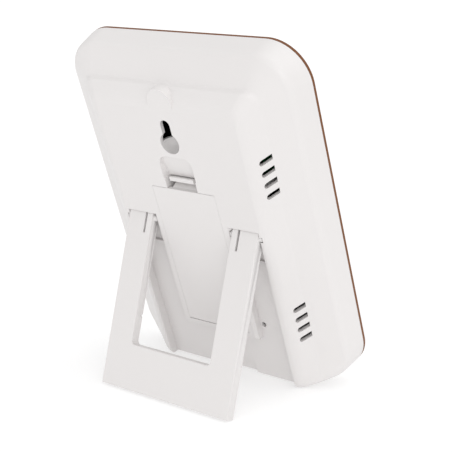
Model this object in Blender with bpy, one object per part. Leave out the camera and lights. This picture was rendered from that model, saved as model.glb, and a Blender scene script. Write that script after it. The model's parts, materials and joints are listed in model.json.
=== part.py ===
"""Small digital photo frame on a fold-out stand: a moulded casing, its display, its electronics,
a two-cell battery bay with a latched door, and a U-shaped stand hinged in a recess of the back.

Everything is modelled upright in the casing's own frame, x across, y from the back's flat face
(y = 0) towards the display (negative y), and z up from the level of the hanging keyhole.
The casing's empty then leans it back and sets it on the ground.
"""
import math

import bmesh
import bpy
from mathutils import Matrix, Vector

MM = 0.001

# How it stands
LEAN = math.radians(20.5)                # casing leans back from upright
STAND_OPEN = math.radians(36.2)          # stand swings out of the back
STANDING_Y = 27.3 * MM                   # brings the middle of the footprint to y = 0

# Outline of the casing where it meets the front panel
HALF_WIDTH = 54.2 * MM
TOP_Z = 30.9 * MM
BOTTOM_Z = -113.2 * MM
CORNER_RADIUS = 16.4 * MM
RIM_Y = -21.3 * MM
WALL = 1.5 * MM
GAP = 0.3 * MM

# The wall's rear edge, where the sloping ring starts
CREASE_HALF_WIDTH = 52.0 * MM
CREASE_TOP_Z = 29.2 * MM
CREASE_RADIUS = 13.9 * MM
CREASE_Y = -11.6 * MM

# The raised pod in the middle of the back: its foot on the ring, and its flat face
POD_FOOT_HALF_WIDTH = 42.0 * MM
POD_FOOT_TOP_Z = 18.4 * MM
POD_FOOT_RADIUS = 5.5 * MM
POD_FOOT_Y = -5.8 * MM
POD_HALF_WIDTH = 34.4 * MM
POD_TOP_Z = 12.0 * MM
POD_RADIUS = 2.6 * MM
POD_BOTTOM_RADIUS = 3.0 * MM
POD_STEP = 0.26                          # how far up its slope the pod's top edge stands
POD_STEP_RISE = 1.5 * MM
BOTTOM_EDGE = 3.4 * MM                   # rounding of the pod's edges, which the casing stands on

# Recess that the stand folds into, and the island it leaves round the battery door
RECESS_HALF_WIDTH = 32.3 * MM
RECESS_TOP_Z = -38.0 * MM
RECESS_DEPTH = 3.7 * MM
ISLAND_HALF_WIDTH = 18.9 * MM
ISLAND_BOTTOM_Z = -91.8 * MM
ISLAND_CHAMFER = 1.1 * MM
POCKET_BOTTOM_Z = -53.8 * MM
POCKET_DEPTH = 4.7 * MM
NOTCH_DEPTH = 7.6 * MM                   # small notch at each lower corner of a pocket
NOTCH_SIZE = (1.4 * MM, 1.8 * MM)
SCOOP_HALF_WIDTH = 11.0 * MM
SCOOP_TOP_Z = -107.0 * MM

# Stand
STAND_OUTER = 31.8 * MM
STAND_INNER = 19.9 * MM
STAND_THICKNESS = 4.2 * MM
STAND_BAR = 18.1 * MM
PIVOT_Y = -1.15 * MM
PIVOT_Z = -41.0 * MM
PIVOT_TO_BACK = 2.05 * MM
PIVOT_TO_TOP = 2.34 * MM
PIN_RADIUS = 1.25 * MM
SLIT_X = 23.0 * MM
SLIT_WIDTH = 1.0 * MM
SLIT_LENGTH = 8.8 * MM

# Hanging keyhole, and the boss above it
KEYHOLE_RADIUS = 4.4 * MM
KEYHOLE_Z = -4.2 * MM
KEYHOLE_SLOT_HALF = 2.25 * MM
KEYHOLE_SLOT_Z = 3.4 * MM
BOWL_WALL = 1.2 * MM                     # half bowl behind the round hole
BOSS_RADIUS = 5.7 * MM
BOSS_Z = 12.6 * MM

# Battery bay, door and latch
DOOR_HALF_WIDTH = 15.3 * MM
DOOR_TOP_Z = -24.6 * MM
DOOR_BOTTOM_Z = -88.1 * MM
DOOR_THICKNESS = 1.5 * MM
DOOR_PIVOT_Y = -0.6 * MM
BAY_HALF_WIDTH = 14.7 * MM
BAY_TOP_Z = -26.5 * MM
BAY_BOTTOM_Z = -86.5 * MM
BAY_FLOOR_Y = -16.6 * MM
CELL_RADIUS = 7.1 * MM
CELL_LENGTH = 49.5 * MM
CELL_NUB = 1.0 * MM
CELL_Y = -9.2 * MM
CELL_X = 7.3 * MM
FINGER_HALF_WIDTH = 8.1 * MM
FINGER_TOP_Z = -9.8 * MM
FINGER_FLOOR_Z = -20.1 * MM
LATCH_HALF_WIDTH = 5.9 * MM

# Vents in one flank of the pod, slanting up towards its foot
VENT_WIDTH = 2.2 * MM
VENT_PITCH = 4.65 * MM
VENT_FIRST_Z = (-9.6 * MM, -74.6 * MM)
VENTS_PER_GROUP = 4
VENT_START = Vector((38.0 * MM, -2.65 * MM, 0))
VENT_END = Vector((42.2 * MM, -5.75 * MM, 0))
VENT_SLANT = 0.46                        # rise for each unit of length
VENT_SIDE = -1

# Reset hole
RESET_X = -20.7 * MM
RESET_Z = -85.7 * MM
RESET_RADIUS = 1.2 * MM

# Display and boards
PANEL_THICKNESS = 1.2 * MM
WINDOW_HALF_WIDTH = 40.2 * MM
WINDOW_HALF_HEIGHT = 53.0 * MM
DISPLAY_Z = (TOP_Z + BOTTOM_Z) / 2
MODULE_HALF_WIDTH = 41.2 * MM
MODULE_HALF_HEIGHT = 55.2 * MM
BOARD_REAR_Y = -14.8 * MM
BOARD_THICKNESS = 1.6 * MM
CASE_SCREW_X = 44.0 * MM
CASE_SCREW_Z = (20.6 * MM, -102.8 * MM)
BOARD_SCREW_X = 35.0 * MM
BOARD_SCREW_Z = (14.0 * MM, -22.3 * MM)
BOARD_BOTTOM_Z = -24.9 * MM

ARC_STEPS = 10


def material(name, colour, roughness, metallic=0.0, alpha=1.0):
    """A Principled material."""
    made = bpy.data.materials.new(name)
    made.use_nodes = True
    shader = made.node_tree.nodes["Principled BSDF"]
    shader.inputs["Base Color"].default_value = (*colour, 1.0)
    shader.inputs["Roughness"].default_value = roughness
    shader.inputs["Metallic"].default_value = metallic
    shader.inputs["Alpha"].default_value = alpha
    return made


def make(name, bm, parent, look=None):
    """One object from a bmesh; without a look it is a cutter."""
    bmesh.ops.recalc_face_normals(bm, faces=bm.faces)
    mesh = bpy.data.meshes.new(name)
    bm.to_mesh(mesh)
    bm.free()
    made = bpy.data.objects.new(name, mesh)
    bpy.context.scene.collection.objects.link(made)
    made.parent = parent
    if look is None:
        made.hide_render = True
        made.display_type = "WIRE"
    else:
        mesh.materials.append(look)
        mesh.shade_smooth()
        mesh.set_sharp_from_angle(angle=math.radians(30))
    return made


def boolean(target, tool, operation):
    """An exact Boolean of one object with another."""
    modifier = target.modifiers.new(f"{operation.lower()} {tool.name}", "BOOLEAN")
    modifier.operation = operation
    modifier.solver = "EXACT"
    modifier.object = tool


def cut(target, tool):
    boolean(target, tool, "DIFFERENCE")


def add(target, tool):
    boolean(target, tool, "UNION")


def box(low, high, bevel=0.0, segments=2):
    """A box between two corners, with its edges rounded if a bevel is given."""
    bm = bmesh.new()
    size = Vector(high) - Vector(low)
    place = Matrix.Translation((Vector(high) + Vector(low)) / 2) @ Matrix.Diagonal((*size, 1))
    bmesh.ops.create_cube(bm, size=1.0, matrix=place)
    if bevel:
        bmesh.ops.bevel(bm, geom=bm.edges[:], offset=bevel, segments=segments, profile=0.5,
                        affect="EDGES")
    return bm


def prism(outline, axis, start, end):
    """A closed outline of (a, b) pairs, extruded along an axis from start to end."""
    bm = bmesh.new()
    place = {
        "x": lambda a, b, along: (along, a, b),
        "y": lambda a, b, along: (a, along, b),
        "z": lambda a, b, along: (a, b, along),
    }[axis]
    base = bm.faces.new([bm.verts.new(place(a, b, start)) for a, b in outline])
    moved = bmesh.ops.extrude_face_region(bm, geom=[base])
    shift = Vector(place(0, 0, end)) - Vector(place(0, 0, start))
    far_end = [v for v in moved["geom"] if isinstance(v, bmesh.types.BMVert)]
    bmesh.ops.translate(bm, vec=shift, verts=far_end)
    return bm


def arc(centre, radius, first, last, steps=ARC_STEPS):
    """Points of an arc, angles in degrees from the outline's first direction."""
    angles = [math.radians(first + (last - first) * i / steps) for i in range(steps + 1)]
    return [(centre[0] + radius * math.cos(t), centre[1] + radius * math.sin(t)) for t in angles]


def rounded_outline(half_width, top, bottom, top_radius, bottom_radius, steps=ARC_STEPS):
    """A rectangle with rounded corners, anticlockwise from its right side."""
    def corner(side, level, radius, first):
        centre = (side * (half_width - radius), level - radius if level == top else level + radius)
        return arc(centre, radius, first, first + 90, steps)
    return (corner(1, top, top_radius, 0) + corner(-1, top, top_radius, 90)
            + corner(-1, bottom, bottom_radius, 180) + corner(1, bottom, bottom_radius, 270))


def rod(centre, axis, radius, start, end, sides=24):
    """A round bar along an axis, at a centre in the other two directions."""
    return prism(arc(centre, radius, 0, 360 - 360 / sides, sides - 1), axis, start, end)


def turned(profile, place, sides=28):
    """A solid of revolution round z from (radius, height) pairs whose ends lie on the axis."""
    bm = bmesh.new()
    verts = [bm.verts.new((r, 0, h)) for r, h in profile]
    edges = [bm.edges.new(pair) for pair in zip(verts, verts[1:])]
    bmesh.ops.spin(bm, geom=verts + edges, axis=(0, 0, 1), cent=(0, 0, 0), angle=math.tau,
                   steps=sides, use_merge=True)
    bmesh.ops.remove_doubles(bm, verts=bm.verts, dist=1e-6)
    bmesh.ops.transform(bm, matrix=place, verts=bm.verts)
    return bm


def tube(name, points, radius, parent, look):
    """A closed tube along a smooth path through the given points."""
    curve = bpy.data.curves.new(name, "CURVE")
    curve.dimensions = "3D"
    curve.bevel_depth = radius
    curve.bevel_resolution = 2
    curve.use_fill_caps = True
    spline = curve.splines.new("POLY")
    spline.points.add(len(points) - 1)
    for point, place in zip(spline.points, points):
        point.co = (*place, 1)
    curve.materials.append(look)
    made = bpy.data.objects.new(name, curve)
    bpy.context.scene.collection.objects.link(made)
    made.parent = parent
    return made


def smooth_path(points, steps=5):
    """Catmull-Rom points through a route."""
    places = [Vector(p) for p in points]
    ends = [2 * places[0] - places[1], *places, 2 * places[-1] - places[-2]]
    path = []
    for a, b, c, d in zip(ends, ends[1:], ends[2:], ends[3:]):
        for i in range(steps):
            t = i / steps
            path.append(0.5 * (2 * b + (c - a) * t + (2 * a - 5 * b + 4 * c - d) * t ** 2
                               + (3 * b - a - 3 * c + d) * t ** 3))
    return path + [places[-1]]


def rounded_stations(stations, softness):
    """Loops of points from the rim to the back, with each inner station's corner rounded off.

    softness gives, for each inner station, how far its rounding reaches both ways."""
    loops = [stations[0]]
    for before, here, after, reach in zip(stations, stations[1:], stations[2:], softness):
        for i in range(4):
            t = i / 3
            loop = []
            for a, b, c in zip(before, here, after):
                start = b + (a - b).normalized() * min(reach, (a - b).length * 0.45)
                end = b + (c - b).normalized() * min(reach, (c - b).length * 0.45)
                loop.append(start.lerp(b, t).lerp(b.lerp(end, t), t))
            loops.append(loop)
    return loops + [stations[-1]]


def bridge_rings(bm, rings):
    """Joins rings of vertices by walls and closes both ends."""
    count = len(rings[0])
    for lower, upper in zip(rings, rings[1:]):
        for i in range(count):
            j = (i + 1) % count
            bm.faces.new((lower[i], lower[j], upper[j], upper[i]))
    bm.faces.new(rings[0][::-1])
    bm.faces.new(rings[-1])


def loft(loops):
    """A closed solid through loops with the same number of points."""
    bm = bmesh.new()
    bridge_rings(bm, [[bm.verts.new(p) for p in loop] for loop in loops])
    return bm


def pod_step(foot, face):
    """A loop just above the pod's foot, which makes a low step along its top edge only."""
    loop = []
    for low, high in zip(foot, face):
        top = min(1.0, max(0.0, (low.z - POD_FOOT_TOP_Z) / POD_FOOT_RADIUS + 1.0))
        loop.append(low.lerp(high, 0.08 + POD_STEP * top) + Vector((0, 0, POD_STEP_RISE * top)))
    return loop


def casing_shape(inset, rim_y):
    """The casing's solid shape, drawn in by an inset."""
    def station(half_width, top, bottom, top_radius, bottom_radius, y):
        least = 0.6 * MM
        outline = rounded_outline(half_width - inset, top - inset, bottom + inset,
                                  max(top_radius - inset, least), max(bottom_radius - inset, least))
        return [Vector((x, y, z)) for x, z in outline]
    draft = 0.25 * MM
    back = -inset
    stations = [
        station(HALF_WIDTH, TOP_Z, BOTTOM_Z, CORNER_RADIUS, CORNER_RADIUS, rim_y),
        station(CREASE_HALF_WIDTH, CREASE_TOP_Z, BOTTOM_Z + draft, CREASE_RADIUS, CREASE_RADIUS,
                CREASE_Y + back * 0.3),
        station(POD_FOOT_HALF_WIDTH, POD_FOOT_TOP_Z, BOTTOM_Z + 1.5 * draft, POD_FOOT_RADIUS,
                POD_FOOT_RADIUS, POD_FOOT_Y + back),
        station(POD_HALF_WIDTH, POD_TOP_Z, BOTTOM_Z + 2 * draft, POD_RADIUS, POD_BOTTOM_RADIUS, back),
    ]
    stations.insert(3, pod_step(stations[2], stations[3]))
    middle = Vector((0, back, (POD_TOP_Z + BOTTOM_Z) / 2))
    centre = [p.lerp(middle, 0.12) for p in stations[-1]]
    return loft(rounded_stations(stations + [centre], (2.6 * MM, 0.6 * MM, 0.6 * MM, BOTTOM_EDGE)))


def keyhole_outline():
    """A round hole with a narrow slot above it."""
    meet = math.degrees(math.acos(KEYHOLE_SLOT_HALF / KEYHOLE_RADIUS))
    return (arc((0, KEYHOLE_SLOT_Z), KEYHOLE_SLOT_HALF, 0, 180, 12)
            + arc((0, KEYHOLE_Z), KEYHOLE_RADIUS, 180 - meet, 360 + meet, 28))


def half_bowl(radius):
    """The half bowl behind the keyhole's round hole: the lower, inner quarter of a ball."""
    centre = Vector((0, -WALL, KEYHOLE_Z))
    bm = bmesh.new()
    bmesh.ops.create_uvsphere(bm, u_segments=28, v_segments=14, radius=radius,
                              matrix=Matrix.Translation(centre))
    for normal in ((0, 0, 1), (0, 1, 0)):
        cut_off = bmesh.ops.bisect_plane(bm, geom=bm.verts[:] + bm.edges[:] + bm.faces[:],
                                         plane_co=centre, plane_no=normal, clear_outer=True)
        rim = [e for e in cut_off["geom_cut"] if isinstance(e, bmesh.types.BMEdge)]
        bmesh.ops.edgeloop_fill(bm, edges=rim)
    return bm


def vent_slots():
    """Cutter for the slots of the vented flank: round at the pod's face, cut square at its foot."""
    along = (VENT_END - VENT_START).normalized()
    normal = Vector((-along.y, along.x, 0))
    length = (VENT_END - VENT_START).length
    half = VENT_WIDTH / 2
    reach = 6 * MM
    outline = [(length, -half), (length, half)] + arc((half, 0), half, 90, 270, 8)
    bm = bmesh.new()
    for first in VENT_FIRST_Z:
        for number in range(VENTS_PER_GROUP):
            level = first - number * VENT_PITCH
            ends = []
            for depth in (-reach, reach):
                ring = [VENT_START + along * u + normal * depth + Vector((0, 0, level + v + VENT_SLANT * u))
                        for u, v in outline]
                ends.append([bm.verts.new((VENT_SIDE * p.x, p.y, p.z)) for p in ring])
            bridge_rings(bm, ends)
    return bm


def finger_recess():
    """Arched hollow above the door, with a floor that slopes in towards the latch."""
    radius = 4.0 * MM
    outline = (arc((FINGER_HALF_WIDTH - radius, FINGER_TOP_Z - radius), radius, 0, 90, 8)
               + arc((-FINGER_HALF_WIDTH + radius, FINGER_TOP_Z - radius), radius, 90, 180, 8)
               + [(-FINGER_HALF_WIDTH, FINGER_FLOOR_Z), (FINGER_HALF_WIDTH, FINGER_FLOOR_Z)])
    mouth = [Vector((x, 1 * MM, z)) for x, z in outline]
    floor = []
    for x, z in outline:
        part = (FINGER_TOP_Z - z) / (FINGER_TOP_Z - FINGER_FLOOR_Z)
        floor.append(Vector((x * 0.94, (-0.9 - 2.9 * part) * MM, z - 0.4 * MM * (1 - part))))
    return loft([mouth, floor])


def build_rear_cover(parent, look):
    """The moulded shell: pod, recess, island, battery bay, keyhole, posts and vents."""
    cover = make("rear_cover", casing_shape(0, RIM_Y), parent, look)
    cavity = make("cut_cavity", casing_shape(WALL, RIM_Y - 2 * MM), parent)
    back = 1 * MM
    floor = -RECESS_DEPTH - WALL
    solids = {
        "recess_floor": box((-RECESS_HALF_WIDTH - WALL, floor, BOTTOM_Z - back),
                            (RECESS_HALF_WIDTH + WALL, back, RECESS_TOP_Z + WALL)),
        "bay": box((-BAY_HALF_WIDTH - 1.2 * MM, BAY_FLOOR_Y - 0.8 * MM, DOOR_BOTTOM_Z - 3.6 * MM),
                   (BAY_HALF_WIDTH + 1.2 * MM, back, BAY_TOP_Z + 1.2 * MM)),
        "finger": box((-FINGER_HALF_WIDTH - 1.5 * MM, -8.5 * MM, BAY_TOP_Z),
                      (FINGER_HALF_WIDTH + 1.5 * MM, back, FINGER_TOP_Z + 1.5 * MM)),
        "keyhole_bowl": half_bowl(KEYHOLE_RADIUS + BOWL_WALL),
    }
    for side in (1, -1):
        ends = sorted((side * (ISLAND_HALF_WIDTH - 1.2 * MM), side * (RECESS_HALF_WIDTH + WALL)))
        solids[f"pocket_{side}"] = box((ends[0], -NOTCH_DEPTH - WALL, POCKET_BOTTOM_Z - WALL),
                                       (ends[1], back, RECESS_TOP_Z + WALL - 0.2 * MM))
        for level in CASE_SCREW_Z:
            solids[f"post_{side}_{level:.3f}"] = rod((side * CASE_SCREW_X, level), "y", 3.2 * MM,
                                                     -17.3 * MM, back)
        for level in BOARD_SCREW_Z:
            solids[f"stud_{side}_{level:.3f}"] = rod((side * BOARD_SCREW_X, level), "y", 2.4 * MM,
                                                     BOARD_REAR_Y + GAP, back)
    for level in (-91.5 * MM, -79.5 * MM):
        solids[f"switch_stud_{level:.3f}"] = rod((-27.5 * MM, level), "y", 1.5 * MM, -10.3 * MM, back)
    for name, shape in solids.items():
        cut(cavity, make(f"solid_{name}", shape, parent))
    cut(cover, cavity)

    boss = make("add_boss", rod((0, BOSS_Z), "y", BOSS_RADIUS, -6.5 * MM, -0.02 * MM, 32), parent)
    add(cover, boss)

    recess = make("cut_recess", box((-RECESS_HALF_WIDTH, -RECESS_DEPTH, BOTTOM_Z - back),
                                    (RECESS_HALF_WIDTH, back, RECESS_TOP_Z)), parent)
    cut(recess, make("keep_island", island_shape(), parent))
    cut(cover, recess)
    holes = {"vents": vent_slots()}
    for side in (1, -1):
        inner, outer = ISLAND_HALF_WIDTH + 0.02 * MM, RECESS_HALF_WIDTH - 0.02 * MM
        ends = sorted((side * inner, side * outer))
        holes[f"pocket_{side}"] = box((ends[0], -POCKET_DEPTH, POCKET_BOTTOM_Z),
                                      (ends[1], back, RECESS_TOP_Z - 0.02 * MM))
        for corner, near in (("inner", inner), ("outer", outer - NOTCH_SIZE[0])):
            ends = sorted((side * near, side * (near + NOTCH_SIZE[0])))
            holes[f"notch_{corner}_{side}"] = box((ends[0], -NOTCH_DEPTH, POCKET_BOTTOM_Z - 0.02 * MM),
                                                  (ends[1], back, POCKET_BOTTOM_Z + NOTCH_SIZE[1]))
        tab = sorted((side * 4.6 * MM, side * 9.4 * MM))
        holes[f"tab_{side}"] = box((tab[0], -4.8 * MM, DOOR_BOTTOM_Z - 2.5 * MM),
                                   (tab[1], -1.8 * MM, BAY_BOTTOM_Z + 2 * MM))
        for level in CASE_SCREW_Z:
            holes[f"post_hole_{side}_{level:.3f}"] = rod((side * CASE_SCREW_X, level), "y", 1.1 * MM,
                                                         -18.5 * MM, -12.3 * MM, 12)
        for level in BOARD_SCREW_Z:
            holes[f"stud_hole_{side}_{level:.3f}"] = rod((side * BOARD_SCREW_X, level), "y", 1.1 * MM,
                                                         -15.5 * MM, -9.8 * MM, 12)
    for side in (1, -1):
        ends = sorted((side * (ISLAND_HALF_WIDTH - 0.9 * MM), side * (ISLAND_HALF_WIDTH + back)))
        holes[f"inner_pin_{side}"] = rod((PIVOT_Y, PIVOT_Z), "x", PIN_RADIUS + GAP, *ends)
        ends = sorted((side * (RECESS_HALF_WIDTH - back), side * (RECESS_HALF_WIDTH + 1.2 * MM)))
        holes[f"outer_pin_{side}"] = rod((PIVOT_Y, PIVOT_Z), "x", PIN_RADIUS + GAP, *ends)
    door_gap = 0.25 * MM
    holes["door"] = box((-DOOR_HALF_WIDTH - door_gap, -DOOR_THICKNESS - 0.35 * MM, DOOR_BOTTOM_Z - 0.45 * MM),
                        (DOOR_HALF_WIDTH + door_gap, back, DOOR_TOP_Z + 0.3 * MM))
    holes["bay"] = box((-BAY_HALF_WIDTH, BAY_FLOOR_Y, BAY_BOTTOM_Z), (BAY_HALF_WIDTH, back, BAY_TOP_Z))
    holes["finger"] = finger_recess()
    holes["latch"] = box((-LATCH_HALF_WIDTH - 1.6 * MM, -7.0 * MM, BAY_TOP_Z - 0.5 * MM),
                         (LATCH_HALF_WIDTH + 1.6 * MM, back, FINGER_FLOOR_Z + 0.05 * MM))
    holes["keyhole"] = prism(keyhole_outline(), "y", -WALL - 0.2 * MM, back)
    holes["keyhole_bowl"] = half_bowl(KEYHOLE_RADIUS)
    holes["reset"] = rod((RESET_X, RESET_Z), "y", RESET_RADIUS, -7 * MM, back, 20)
    holes["scoop"] = scoop_shape()
    for name, shape in holes.items():
        cut(cover, make(f"cut_{name}", shape, parent))
    return cover


def island_shape():
    """The raised block left inside the recess, its edges chamfered all round."""
    def loop(inset, y):
        return [Vector((x, y, z)) for x, z in (
            (ISLAND_HALF_WIDTH - inset, ISLAND_BOTTOM_Z + inset), (ISLAND_HALF_WIDTH - inset, 0),
            (-ISLAND_HALF_WIDTH + inset, 0), (-ISLAND_HALF_WIDTH + inset, ISLAND_BOTTOM_Z + inset))]
    return loft([loop(0, -10 * MM), loop(0, -ISLAND_CHAMFER), loop(ISLAND_CHAMFER + 2 * MM, 2 * MM)])


def scoop_shape():
    """Shallow finger scoop in the recess's floor, at the bottom edge."""
    deep = -RECESS_DEPTH - 1.15 * MM
    def loop(y, grow):
        half, top, low = SCOOP_HALF_WIDTH + grow, SCOOP_TOP_Z + grow, BOTTOM_Z - 1 * MM
        return [Vector((x, y, z)) for x, z in ((half, low), (half, top), (-half, top), (-half, low))]
    return loft([loop(deep, -1.2 * MM), loop(-RECESS_DEPTH + 0.5 * MM, 0.5 * MM)])


def build_front(parent, looks):
    """Front panel, its window, the carrier behind it and the display module."""
    def ring(name, look, outer, inner, y_range):
        made = make(name, prism(outer, "y", *y_range), parent, look)
        corner = 1.5 * MM
        hole = rounded_outline(inner[0], DISPLAY_Z + inner[1], DISPLAY_Z - inner[1], corner, corner, 4)
        cut(made, make(f"cut_{name}", prism(hole, "y", y_range[0] - 1 * MM, y_range[1] + 1 * MM), parent))
        return made
    panel_back = RIM_Y - 0.2 * MM
    outline = rounded_outline(HALF_WIDTH, TOP_Z, BOTTOM_Z, CORNER_RADIUS, CORNER_RADIUS)
    ring("front_panel", looks["panel"], outline, (WINDOW_HALF_WIDTH, WINDOW_HALF_HEIGHT),
         (panel_back - PANEL_THICKNESS, panel_back))
    window = rounded_outline(WINDOW_HALF_WIDTH - GAP, DISPLAY_Z + WINDOW_HALF_HEIGHT - GAP,
                             DISPLAY_Z - WINDOW_HALF_HEIGHT + GAP, 1.2 * MM, 1.2 * MM, 4)
    make("display_window", prism(window, "y", panel_back - PANEL_THICKNESS + 0.1 * MM, panel_back),
         parent, looks["window"])

    inset = WALL + 1.45 * MM
    outline = rounded_outline(HALF_WIDTH - inset, TOP_Z - inset, BOTTOM_Z + inset,
                              CORNER_RADIUS - inset, CORNER_RADIUS - inset)
    frame = ring("front_frame", looks["abs_inner"], outline, (39.0 * MM, 52.0 * MM),
                 (RIM_Y + 0.1 * MM, -17.7 * MM))
    seat = box((-MODULE_HALF_WIDTH - GAP, -20.4 * MM, DISPLAY_Z - MODULE_HALF_HEIGHT - GAP),
               (MODULE_HALF_WIDTH + GAP, -16 * MM, DISPLAY_Z + MODULE_HALF_HEIGHT + GAP))
    cut(frame, make("cut_display_seat", seat, parent))
    flex_way = box((-11.5 * MM, -20.2 * MM, 10 * MM), (11.5 * MM, -16 * MM, 18 * MM))
    cut(frame, make("cut_flex_way", flex_way, parent))
    for side in (1, -1):
        for level in CASE_SCREW_Z:
            place = (side * CASE_SCREW_X, level)
            name = f"{side}_{level:.3f}"
            head = rod(place, "y", 2.5 * MM, -22.5 * MM, -19.3 * MM)
            shank = rod(place, "y", 1.15 * MM, -22.5 * MM, -16 * MM, 16)
            cut(frame, make(f"cut_head_{name}", head, parent))
            cut(frame, make(f"cut_shank_{name}", shank, parent))

    low, high = DISPLAY_Z - MODULE_HALF_HEIGHT, DISPLAY_Z + MODULE_HALF_HEIGHT
    make("lcd_panel", box((-MODULE_HALF_WIDTH, -20.1 * MM, low), (MODULE_HALF_WIDTH, -19.0 * MM, high),
                          0.15 * MM, 1), parent, looks["lcd"])
    make("backlight", box((-MODULE_HALF_WIDTH, -18.7 * MM, low), (MODULE_HALF_WIDTH, -17.9 * MM, high),
                          0.2 * MM, 1), parent, looks["steel"])
    strip = [(-19.5, 14.6), (-19.5, 15.9), (-19.2, 16.4), (-17.9, 16.4), (-17.5, 15.9), (-17.5, 11.4),
             (-17.25, 11.4), (-17.25, 16.1), (-17.7, 16.7), (-19.35, 16.7), (-19.8, 16.1), (-19.8, 14.6)]
    make("lcd_flex", prism([(y * MM, z * MM) for y, z in strip], "x", -9 * MM, 9 * MM), parent, looks["flex"])


def build_boards(parent, looks):
    """Main board with its chips and socket, the reset switch on its own board, and the leads."""
    board_front = BOARD_REAR_Y - BOARD_THICKNESS
    board = make("main_board", box((-40 * MM, board_front, BOARD_BOTTOM_Z), (40 * MM, BOARD_REAR_Y, 19 * MM)),
                 parent, looks["board"])
    for side in (1, -1):
        for level in BOARD_SCREW_Z:
            hole = rod((side * BOARD_SCREW_X, level), "y", 1.15 * MM, board_front - 1 * MM,
                       BOARD_REAR_Y + 1 * MM, 16)
            cut(board, make(f"cut_board_{side}_{level:.3f}", hole, parent))
    make("lcd_socket", box((-10 * MM, -17.1 * MM, 5 * MM), (10 * MM, board_front - 0.02 * MM - GAP, 11 * MM),
                           0.1 * MM, 1), parent, looks["socket"])
    rear = BOARD_REAR_Y + GAP
    chips = {"processor_chip": ((14, -8), 14), "memory_chip": ((-20, -8), 10), "radio_shield": ((18, 9), 9)}
    for name, ((x, z), size) in chips.items():
        half = size / 2
        shape = box(((x - half) * MM, rear, (z - half) * MM),
                    ((x + half) * MM, rear + 1.3 * MM, (z + half) * MM), 0.2 * MM, 1)
        make(name, shape, parent, looks["steel"] if name == "radio_shield" else looks["chip"])

    make("switch_board", box((-29.5 * MM, -12.2 * MM, -94 * MM), (-17.4 * MM, -10.6 * MM, -77 * MM),
                             0.1 * MM, 1), parent, looks["board"])
    half = 2.6 * MM
    body = box((RESET_X - half, -10.3 * MM, RESET_Z - half), (RESET_X + half, -7.6 * MM, RESET_Z + half),
               0.3 * MM)
    switch = make("reset_switch", body, parent, looks["chip"])
    bore = rod((RESET_X, RESET_Z), "y", 1.3 * MM, -8.8 * MM, -7 * MM, 20)
    cut(switch, make("cut_reset_bore", bore, parent))
    holder = bpy.data.objects.new("reset_axis", None)
    holder.parent = parent
    holder.location = (RESET_X, -6.6 * MM, RESET_Z)
    bpy.context.scene.collection.objects.link(holder)
    make("reset_button", rod((0, 0), "y", 0.95 * MM, -1.6 * MM, 0.4 * MM, 20), holder, looks["chip"])

    reach = 0.55 * MM
    routes = {
        "red_lead": ("red", [(7.3, -13.4, -24.3), (11, -13.0, -23.6), (17, -12.6, -22.6),
                             (24, -12.4, -18), (26, -12.6, -13), (25, -13.4, -10), (23.5, -13.8, -8)]),
        "black_lead": ("black", [(-7.3, -13.4, -24.3), (-11, -13.0, -23.6), (-17, -12.6, -22.6),
                                 (-24, -12.4, -19), (-26.5, -12.6, -15), (-27, -13.4, -11),
                                 (-27, -13.8, -8)]),
        "switch_lead": ("black", [(-24, -13.0, -80), (-24, -13.6, -70), (-25, -13.8, -56),
                                  (-26, -13.6, -40), (-28, -13.0, -28), (-29.5, -12.6, -21),
                                  (-30, -13.2, -14), (-30, -13.8, -9)]),
    }
    for name, (look, route) in routes.items():
        path = smooth_path([[value * MM for value in place] for place in route], 4)
        tube(name, path, reach, parent, looks[look])


def build_battery(parent, looks):
    """Two cells with opposite ends up, and the contacts that join them."""
    radius = CELL_RADIUS
    profile = [(0, 0), (radius - 0.5 * MM, 0), (radius, 0.5 * MM), (radius, CELL_LENGTH - 0.8 * MM),
               (radius - 0.8 * MM, CELL_LENGTH), (2.7 * MM, CELL_LENGTH),
               (2.5 * MM, CELL_LENGTH + CELL_NUB), (0, CELL_LENGTH + CELL_NUB)]
    top = BAY_TOP_Z - 0.3 * MM
    bottom = BAY_BOTTOM_Z + 0.3 * MM
    plate = 0.4 * MM
    full = CELL_LENGTH + CELL_NUB
    upright = Matrix.Translation((CELL_X, CELL_Y, top - plate - GAP - full))
    inverted = (Matrix.Translation((-CELL_X, CELL_Y, bottom + plate + GAP + full))
                @ Matrix.Rotation(math.pi, 4, "X"))
    make("battery_cell_left", turned(profile, upright), parent, looks["cell"])
    make("battery_cell_right", turned(profile, inverted), parent, looks["cell"])

    half = 5.2 * MM

    def contact(name, x_low, x_high, low):
        shape = box((x_low, CELL_Y - half, low), (x_high, CELL_Y + half, low + plate), 0.05 * MM, 1)
        make(name, shape, parent, looks["nickel"])
    contact("positive_contact", CELL_X - half, CELL_X + half, top - plate)
    contact("negative_contact", -CELL_X - half, -CELL_X + half, top - plate)
    contact("bridge_contact", -CELL_X - half, CELL_X + half, bottom)

    def spring(name, x, start, end):
        turns, steps = 4, 14
        points = []
        for i in range(turns * steps + 1):
            t = i / (turns * steps)
            angle = math.tau * turns * t
            r = (4.2 - 1.7 * t) * MM
            points.append((x + r * math.cos(angle), CELL_Y + r * math.sin(angle), start + (end - start) * t))
        tube(name, points, 0.35 * MM, parent, looks["nickel"])
    wire = 0.35 * MM + GAP
    spring("spring_left", CELL_X, bottom + plate + wire, top - plate - GAP - full - wire)
    spring("spring_right", -CELL_X, top - plate - wire, bottom + plate + GAP + full + wire)


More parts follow.
